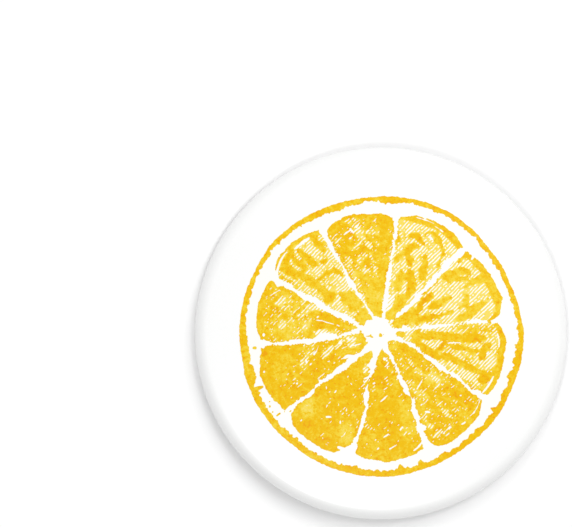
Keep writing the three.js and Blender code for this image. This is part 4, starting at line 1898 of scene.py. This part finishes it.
class RindDrawing:
    """Works out where the ink of the rind is, with the small specks and dots beside it."""

    RADIUS = 21.6
    TABLE_STEP = 10
    # The radius of its outer side every TABLE_STEP degrees, from +X.
    RADII = (
        22.04, 21.7, 21.45, 21.55, 21.34, 21.58, 21.73, 21.59, 21.44,
        21.36, 21.35, 21.34, 21.54, 21.69, 21.78, 21.68, 21.65, 21.7,
        21.65, 21.52, 21.66, 21.66, 21.56, 21.47, 21.52, 21.58, 21.63,
        21.62, 21.62, 21.53, 21.44, 21.47, 21.72, 21.73, 21.76, 21.95,
    )
    # Its width at the same angles.
    WIDTHS = (
        0.91, 0.75, 0.74, 0.9, 0.68, 0.71, 0.92, 0.67, 0.73,
        0.82, 0.87, 0.87, 1.0, 0.79, 0.72, 0.75, 0.72, 0.9,
        1.4, 1.12, 1.09, 1.1, 1.09, 1.04, 1.08, 1.0, 0.98,
        1.06, 0.93, 0.76, 0.96, 0.76, 0.93, 0.87, 0.99, 1.05,
    )
    # Teeth on its inner side: direction, depth, and half their width in degrees.
    TEETH = (
        (86, 0.15, 4), (112, 0.25, 5), (187, 0.25, 3.5), (196.5, 0.25, 4.5), (203.4, 0.85, 0.9),
        (231, 0.45, 0.9), (258, 0.2, 5), (279, 0.55, 1.5), (287.5, 0.5, 1.4), (298, 0.35, 2),
        (308.5, 0.2, 1.2), (316, 0.35, 2.2), (327, 0.42, 1.1), (335, 0.3, 2), (343, 0.42, 1.4),
        (349.5, 0.38, 1.2), (355.5, 0.28, 0.9),
    )
    # Specks in the pith: direction and distance from the fruit's centre, half length and radius.
    SPECKS = (
        (185.6, 19.33, 0.1, 0.2),
        (181.7, 19.72, 0.02, 0.06),
        (210.8, 19.74, 0.02, 0.12),
        (212.7, 20.1, 0.02, 0.13),
        (215.4, 20.25, 0.02, 0.12),
        (217.7, 19.75, 0.2, 0.17),
        (220.0, 17.97, 0.08, 0.14),
        (218.5, 18.75, 0.01, 0.06),
    )
    # Marks in and near the core: two ends and the radius.
    CORE_MARKS = (
        (-0.12, -0.19, -0.05, -0.3, 0.25),
        (0.33, -0.1, 0.35, -0.12, 0.08),
        (-2.4, -0.4, -1.7, -0.36, 0.1),
        (-1.72, -0.32, -1.62, -0.22, 0.12),
        (-1.66, -0.38, -1.36, -0.52, 0.14),
    )

    MARGIN = 0.8
    SWELL = Layers(Grain(16, 0.06, 2.2, 1.0), Grain(18, 0.03, 0.4, 1.0))
    BITES = Layers(Grain(13, 0.16, 1.3, 1.0), Grain(14, 0.15, 0.36, 1.0))
    TOOTH_EDGE = Grain(15, math.radians(0.25), 0.3, 1.0)
    TOOTH_FADE = (1.25, 0.4)
    OUTER_ROUGHNESS = (0.4, 0.6)
    INNER_ROUGHNESS = (0.7, 1.0)
    MARK_ROUGHNESS = 0.5
    MARK_MARGIN = 0.4
    STREAKS = Layers(Grain(19, 1.0, 0.25, 1.4), Grain(20, 1.0, 0.9, 0.5))
    CLOUDS = Grain(21, 0.35, 4.0, 1.0)
    STREAKINESS = 0.5
    WASH = 0.15
    RICHEST = -0.1
    MARK_WASH = 0.6

    def __init__(self, fruit: Fruit, texture: Texture) -> None:
        """Takes the whole rind.

        Args:
            fruit: The layout.
            texture: The look of the ink.
        """
        self.fruit = fruit
        self.texture = texture

    def box(self) -> tuple[Point, Point]:
        """Frames the rind.

        Returns:
            The lower left and the upper right corner.
        """
        x, y = self.fruit.centre
        reach = self.RADIUS + self.MARGIN
        return (x - reach, y - reach), (x + reach, y + reach)

    def marks(self) -> list[tuple[float, float, float, float, float]]:
        """Gathers the specks and the marks in the core.

        Returns:
            The two ends and the radius of each.
        """
        x, y = self.fruit.centre
        marks = list(self.CORE_MARKS)
        for direction, distance, half, radius in self.SPECKS:
            across = math.cos(math.radians(direction))
            up = math.sin(math.radians(direction))
            near = distance - half
            far = distance + half
            marks.append((x + near * across, y + near * up, x + far * across, y + far * up, radius))
        return marks

    def read(self, table: tuple[float, ...], angle: Array) -> Array:
        """Reads a table, smoothly between its entries.

        Args:
            table: Its values round the rind.
            angle: The angles.

        Returns:
            The value at each angle.
        """
        turn = np.degrees(np.mod(angle, TURN)) / self.TABLE_STEP
        step = np.floor(turn).astype(int)
        values = np.array([*table, table[0]])
        low = values[step]
        high = values[np.minimum(step + 1, len(table))]
        return low + (high - low) * smooth_share(turn - step)

    def draw(self, raster: Raster) -> Inked:
        """Draws the rind.

        Args:
            raster: The grid.

        Returns:
            Its ink.
        """
        x = raster.x
        y = raster.y
        texture = self.texture
        centre = self.fruit.centre
        angle = np.arctan2(y - centre[1], x - centre[0])
        distance = np.hypot(x - centre[0], y - centre[1])
        around = angle * self.RADIUS
        level = np.ones(x.shape)  # what is read at this level is the same all the way outwards
        ragged = texture.ragged(x, y)
        fine = texture.fine(x, y)
        teeth = np.zeros(x.shape)
        for direction, height, half in self.TEETH:
            off = np.abs(turned_from(angle, math.radians(direction)))
            off = off + self.TOOTH_EDGE(around, level)
            fade = [math.radians(half) * part for part in self.TOOTH_FADE]
            teeth = np.maximum(teeth, height * ramp(off, *fade))
        outer = self.read(self.RADII, angle)
        inner = outer - self.read(self.WIDTHS, angle)
        rough = self.OUTER_ROUGHNESS[0] * ragged + self.OUTER_ROUGHNESS[1] * fine
        outside = outer + self.SWELL(around, level) + rough - distance
        rough = self.INNER_ROUGHNESS[0] * ragged + self.INNER_ROUGHNESS[1] * fine
        inside = distance - inner - rough - self.BITES(around, level) + teeth
        ring = np.minimum(outside, inside)
        depth = ring.copy()
        for x0, y0, x1, y1, radius in self.marks():
            ends = np.array([(x0, y0), (x1, y1)])
            window = raster.window(ends, radius + self.MARK_MARGIN)
            _, off = near_line(x[window], y[window], *ends)
            mark = radius + self.MARK_ROUGHNESS * ragged[window] - off
            depth[window] = np.maximum(depth[window], mark)
        wash = self.WASH + self.STREAKINESS * self.STREAKS(around, distance)
        wash = np.maximum(wash + self.CLOUDS(around, level), self.RICHEST)
        return Inked(depth, np.where(depth > ring, self.MARK_WASH, wash))


# ------------------------------------------------------------------------- from drawing to ink sheet

# The sides of a grid cell that an outline joins, for each set of corners in the ink: 1 lower left,
# 2 lower right, 4 upper right and 8 upper left. The ink is on the left of each step.
BOTTOM, RIGHT, TOP, LEFT = range(4)
STEPS = {
    1: ((BOTTOM, LEFT),),
    2: ((RIGHT, BOTTOM),),
    3: ((RIGHT, LEFT),),
    4: ((TOP, RIGHT),),
    5: ((BOTTOM, LEFT), (TOP, RIGHT)),
    6: ((TOP, BOTTOM),),
    7: ((TOP, LEFT),),
    8: ((LEFT, TOP),),
    9: ((BOTTOM, TOP),),
    10: ((RIGHT, BOTTOM), (LEFT, TOP)),
    11: ((RIGHT, TOP),),
    12: ((LEFT, RIGHT),),
    13: ((BOTTOM, RIGHT),),
    14: ((LEFT, BOTTOM),),
}
CROSSING_MARGIN = 0.04  # how close to a grid point an outline may pass, as a share of the step
EASING_PASSES = 4
FEWEST_POINTS = 8


def outlines(raster: Raster, depth: Array) -> list[Array]:
    """Follows the edges of the ink.

    Args:
        raster: The grid.
        depth: How deep each of its points is in the ink.

    Returns:
        Closed outlines, with the ink on their left.
    """
    depth = depth.copy()
    depth[0, :] = depth[-1, :] = -1.0
    depth[:, 0] = depth[:, -1] = -1.0
    inked = depth > 0
    rows, columns = depth.shape
    corners = (inked[:-1, :-1], inked[:-1, 1:], inked[1:, 1:], inked[1:, :-1])
    kind = sum(corner.astype(int) << bit for bit, corner in enumerate(corners))
    upright = rows * columns

    def side_of(row: Array, column: Array, side: int) -> Array:
        """Numbers the sides of cells: level sides come first, then upright ones.

        Args:
            row: The cells' rows.
            column: Their columns.
            side: Which of their sides.

        Returns:
            The sides' numbers.
        """
        here = row * columns + column
        if side == BOTTOM:
            return here
        if side == TOP:
            return here + columns
        return upright + here + (1 if side == RIGHT else 0)

    follow: dict[int, int] = {}
    for case, steps in STEPS.items():
        row, column = np.nonzero(kind == case)
        for start, end in steps:
            starts = side_of(row, column, start).tolist()
            ends = side_of(row, column, end).tolist()
            follow.update(zip(starts, ends))
    loops = []
    while follow:
        first, step = follow.popitem()
        loop = [first]
        while step != first:
            loop.append(step)
            step = follow.pop(step)
        loops.append(np.array(loop))
    return [crossing_points(raster, depth, loop) for loop in loops]


def crossing_points(raster: Raster, depth: Array, sides: Array) -> Array:
    """Where an outline crosses the grid's sides.

    Args:
        raster: The grid.
        depth: How deep each of its points is in the ink.
        sides: The numbers of the sides.

    Returns:
        The points.
    """
    columns = depth.shape[1]
    upright = sides >= depth.size
    here = np.where(upright, sides - depth.size, sides)
    row = here // columns
    column = here % columns
    start = depth[row, column]
    end = depth[row + upright, column + ~upright]
    share = np.clip(start / (start - end), CROSSING_MARGIN, 1 - CROSSING_MARGIN) * raster.STEP
    x = raster.across[column] + np.where(upright, 0.0, share)
    y = raster.up[row] + np.where(upright, share, 0.0)
    return np.column_stack([x, y])


def area(loop: Array) -> float:
    """The area inside a closed outline, negative if it runs clockwise."""
    after = np.roll(loop, -1, axis=0)
    return float(np.sum(loop[:, 0] * after[:, 1] - after[:, 0] * loop[:, 1]) / 2)


def eased(loop: Array, tolerance: float) -> Array:
    """Drops the points of an outline that lie almost on the line between their neighbours.

    Args:
        loop: The outline.
        tolerance: How far off that line a point may lie.

    Returns:
        The outline without them.
    """
    for _ in range(EASING_PASSES):
        if len(loop) < FEWEST_POINTS:
            break
        before = np.roll(loop, 1, axis=0)
        after = np.roll(loop, -1, axis=0)
        run = after - before
        lean = run[:, 0] * (loop[:, 1] - before[:, 1]) - run[:, 1] * (loop[:, 0] - before[:, 0])
        drop = np.abs(lean) / np.maximum(np.hypot(run[:, 0], run[:, 1]), TINY) < tolerance
        # No two neighbours go in one pass: first along the outline, then where it closes.
        drop &= ~np.roll(drop, 1) | (np.arange(len(loop)) % 2 == 0)
        drop &= ~np.roll(drop, 1)
        if not drop.any():
            break
        loop = loop[~drop]
    return loop


def inked_faces(
    faces: Sequence[Sequence[int]], fence: set[frozenset[int]]
) -> list[tuple[int, int, int]]:
    """Picks the triangles that lie in the ink, going in from outside and across the outlines.

    Args:
        faces: All the triangles, anticlockwise, out to the convex hull.
        fence: The edges that are part of an outline.

    Returns:
        The triangles in the ink.
    """
    beside: dict[frozenset[int], list[int]] = {}
    for number, face in enumerate(faces):
        for a, b in zip(face, (*face[1:], face[0])):
            beside.setdefault(frozenset((a, b)), []).append(number)
    inked: dict[int, bool] = {}
    queue = []
    for edge, numbers in beside.items():
        if len(numbers) == 1 and numbers[0] not in inked:
            inked[numbers[0]] = edge in fence
            queue.append(numbers[0])
    while queue:
        number = queue.pop()
        face = faces[number]
        for a, b in zip(face, (*face[1:], face[0])):
            edge = frozenset((a, b))
            for other in beside[edge]:
                if other not in inked:
                    inked[other] = inked[number] != (edge in fence)
                    queue.append(other)
    return [tuple(face) for number, face in enumerate(faces) if inked[number]]


@dataclass(frozen=True)
class InkSheet:
    """A thin closed sheet of ink that lies on the printed face."""

    name: str
    node: str
    form: ButtonForm
    drawing: WedgeDrawing | RindDrawing
    gap: float = 0.006
    thickness: float = 0.02
    tolerance: float = 0.007
    smallest: float = 0.009
    support_step: int = 6
    support_depth: float = 0.1
    weld: float = 1e-5
    map_margin: float = 0.01

    def flat(self) -> tuple[Array, Array, list[tuple[int, int, int]]]:
        """Cuts the sheet out of the plane.

        Returns:
            The points, how thin the ink is at each, and the triangles, anticlockwise.
        """
        raster = Raster(*self.drawing.box())
        inked = self.drawing.draw(raster)
        loops = [loop for loop in outlines(raster, inked.depth) if abs(area(loop)) > self.smallest]
        loops = [eased(loop, self.tolerance) for loop in loops]
        step = self.support_step
        inner = inked.depth[::step, ::step] > self.support_depth
        support = np.column_stack([raster.x[::step, ::step][inner], raster.y[::step, ::step][inner]])
        points = np.concatenate([*loops, support])
        edges = []
        first = 0
        for loop in loops:
            count = len(loop)
            edges += [(first + i, first + (i + 1) % count) for i in range(count)]
            first += count
        vectors = [Vector(point) for point in points]
        corners, lines, faces, _, sources, _ = delaunay_2d_cdt(vectors, edges, [], 0, self.weld)
        fence = {frozenset(line) for line, source in zip(lines, sources) if len(source) % 2}
        places = np.array([tuple(corner) for corner in corners])
        return places, raster.at(inked.wash, places), inked_faces(faces, fence)

    def build(self) -> bpy.types.Object:
        """Makes the sheet: its top, its underside and the walls between them.

        Returns:
            The object.
        """
        corners, wash, triangles = self.flat()
        x = corners[:, 0]
        y = corners[:, 1]
        low = self.form.height(x, y) + self.gap
        count = len(corners)
        top = np.column_stack([x, y, low + self.thickness])
        bottom = np.column_stack([x, y, low])
        vertices = np.concatenate([top, bottom]) * MM
        directed = {(t[i], t[(i + 1) % 3]) for t in triangles for i in range(3)}
        rim = [(a, b) for a, b in directed if (b, a) not in directed]
        faces = list(triangles)
        faces += [(c + count, b + count, a + count) for a, b, c in triangles]
        faces += [(a + count, b + count, b, a) for a, b in sorted(rim)]
        least = corners.min(axis=0)
        whole = (corners.max(axis=0) - least).max() / (1 - 2 * self.map_margin)
        places = (corners - least) / whole + self.map_margin
        where = np.concatenate([places, places])
        order = [corner for face in faces for corner in face]
        piece = solid_mesh(self.name, vertices.tolist(), faces, where[order])
        layer = piece.data.attributes.new(InkFinish.ATTRIBUTE, "FLOAT", "POINT")
        layer.data.foreach_set("value", np.concatenate([wash, wash]))
        return piece

    def dress(self, material: bpy.types.Material) -> None:
        """Makes the sheet and gives it its finish."""
        dress(self.build(), material, "ink", self.node)


# ---------------------------------------------------------------------------------------- the stage


@dataclass(frozen=True)
class Lamp:
    """A soft rectangular light that points at the magnet."""

    name: str
    place: tuple[float, float, float]
    size: float
    power: float

    def build(self) -> None:
        """Makes the light."""
        light = bpy.data.lights.new(self.name, "AREA")
        light.shape = "SQUARE"
        light.size = self.size
        light.energy = self.power
        lamp = bpy.data.objects.new(self.name, light)
        lamp.location = self.place
        lamp.rotation_euler = (-Vector(self.place)).to_track_quat("-Z", "Y").to_euler()
        bpy.context.scene.collection.objects.link(lamp)


@dataclass(frozen=True)
class Studio:
    """The floor, the light and the camera."""

    floor: FloorFinish = FloorFinish()
    floor_half: float = 1.5
    floor_gap: float = 0.02
    sky: float = 0.49
    lamps: tuple[Lamp, ...] = (
        Lamp("key_light", (0.55, 0.55, 0.92), 0.5, 2.8),
        Lamp("back_light", (0.0, 0.77, 0.92), 0.5, 2.9),
        Lamp("high_light", (0.28, 0.28, 1.13), 0.3, 2.2),
        Lamp("low_light", (-0.14, -0.38, 1.13), 0.3, 3.1),
    )
    camera_height: float = 1.2
    camera_reach: float = 10.0
    sensor: float = 36.0

    def build(self, form: ButtonForm) -> None:
        """Makes the stage round the magnet.

        Args:
            form: The outside of the button.
        """
        self.add_floor()
        self.add_sky()
        for lamp in self.lamps:
            lamp.build()
        self.add_camera(form)
        bpy.context.scene.view_settings.view_transform = "Standard"
        log.info("stage: floor, %d lights and the camera", len(self.lamps))

    def add_floor(self) -> None:
        """Makes the floor, just under the magnet."""
        half = self.floor_half
        level = -self.floor_gap * MM
        corners = [(-half, -half), (half, -half), (half, half), (-half, half)]
        mesh = bpy.data.meshes.new("floor")
        mesh.from_pydata([(x, y, level) for x, y in corners], [], [(0, 1, 2, 3)])
        floor = bpy.data.objects.new("floor", mesh)
        floor.data.materials.append(self.floor.material())
        bpy.context.scene.collection.objects.link(floor)

    def add_sky(self) -> None:
        """Lights the scene evenly from all round."""
        world = bpy.data.worlds.new("studio")
        world.use_nodes = True
        background = world.node_tree.nodes["Background"]
        background.inputs["Color"].default_value = (1.0, 1.0, 1.0, 1.0)
        background.inputs["Strength"].default_value = self.sky
        bpy.context.scene.world = world

    def add_camera(self, form: ButtonForm) -> None:
        """Looks straight down, with the magnet at its place in the picture.

        Args:
            form: The outside of the button.
        """
        scale = form.radius * MM / BUTTON_RADIUS_PX
        across = (BUTTON_CENTRE_PX[0] - PICTURE_WIDTH / 2) * scale
        down = (BUTTON_CENTRE_PX[1] - PICTURE_HEIGHT / 2) * scale
        # The button's outline is where its side is upright, just above the back rounding.
        distance = self.camera_height - (form.rim + form.back_edge_radius) * MM
        camera = bpy.data.cameras.new("camera")
        camera.sensor_width = self.sensor
        camera.lens = self.sensor * distance / (PICTURE_WIDTH * scale)
        camera.clip_end = self.camera_reach
        view = bpy.data.objects.new("camera", camera)
        view.location = (-across, down, self.camera_height)
        bpy.context.scene.collection.objects.link(view)
        bpy.context.scene.camera = view


# --------------------------------------------------------------------------------------- the whole


def main() -> None:
    """Builds the magnet round the frame."""
    logging.basicConfig(level=logging.INFO, format="%(name)s: %(message)s")
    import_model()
    cover_low, cover_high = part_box("printed_cover")
    metal_low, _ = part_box("metal_body")
    _, magnet_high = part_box("magnet_disc")
    magnet = MagnetDisc(radius=magnet_high[0] / MM, thickness=magnet_high[2] / MM)
    form = ButtonForm(
        radius=cover_high[0] / MM,
        top=cover_high[2] / MM,
        rim=cover_low[2] / MM,
    )
    Cover(form).dress()
    MetalBack(
        form,
        ring_height=metal_low[2] / MM,
        seat_radius=magnet.radius + SEAT_GAP,
        seat_floor=magnet.thickness + BOND_THICKNESS,
    ).dress()
    magnet.dress()
    fruit = Fruit()
    texture = Texture()
    ink = InkFinish().material()
    InkSheet("rind_ink", "print_rind", form, RindDrawing(fruit, texture)).dress(ink)
    for index in range(len(WEDGES)):
        drawing = WedgeDrawing(index, fruit, texture)
        number = f"{index + 1:02d}"
        InkSheet(f"wedge_ink_{number}", f"print_wedge_{number}", form, drawing).dress(ink)
    Studio().build(form)


if __name__ == "__main__":
    main()
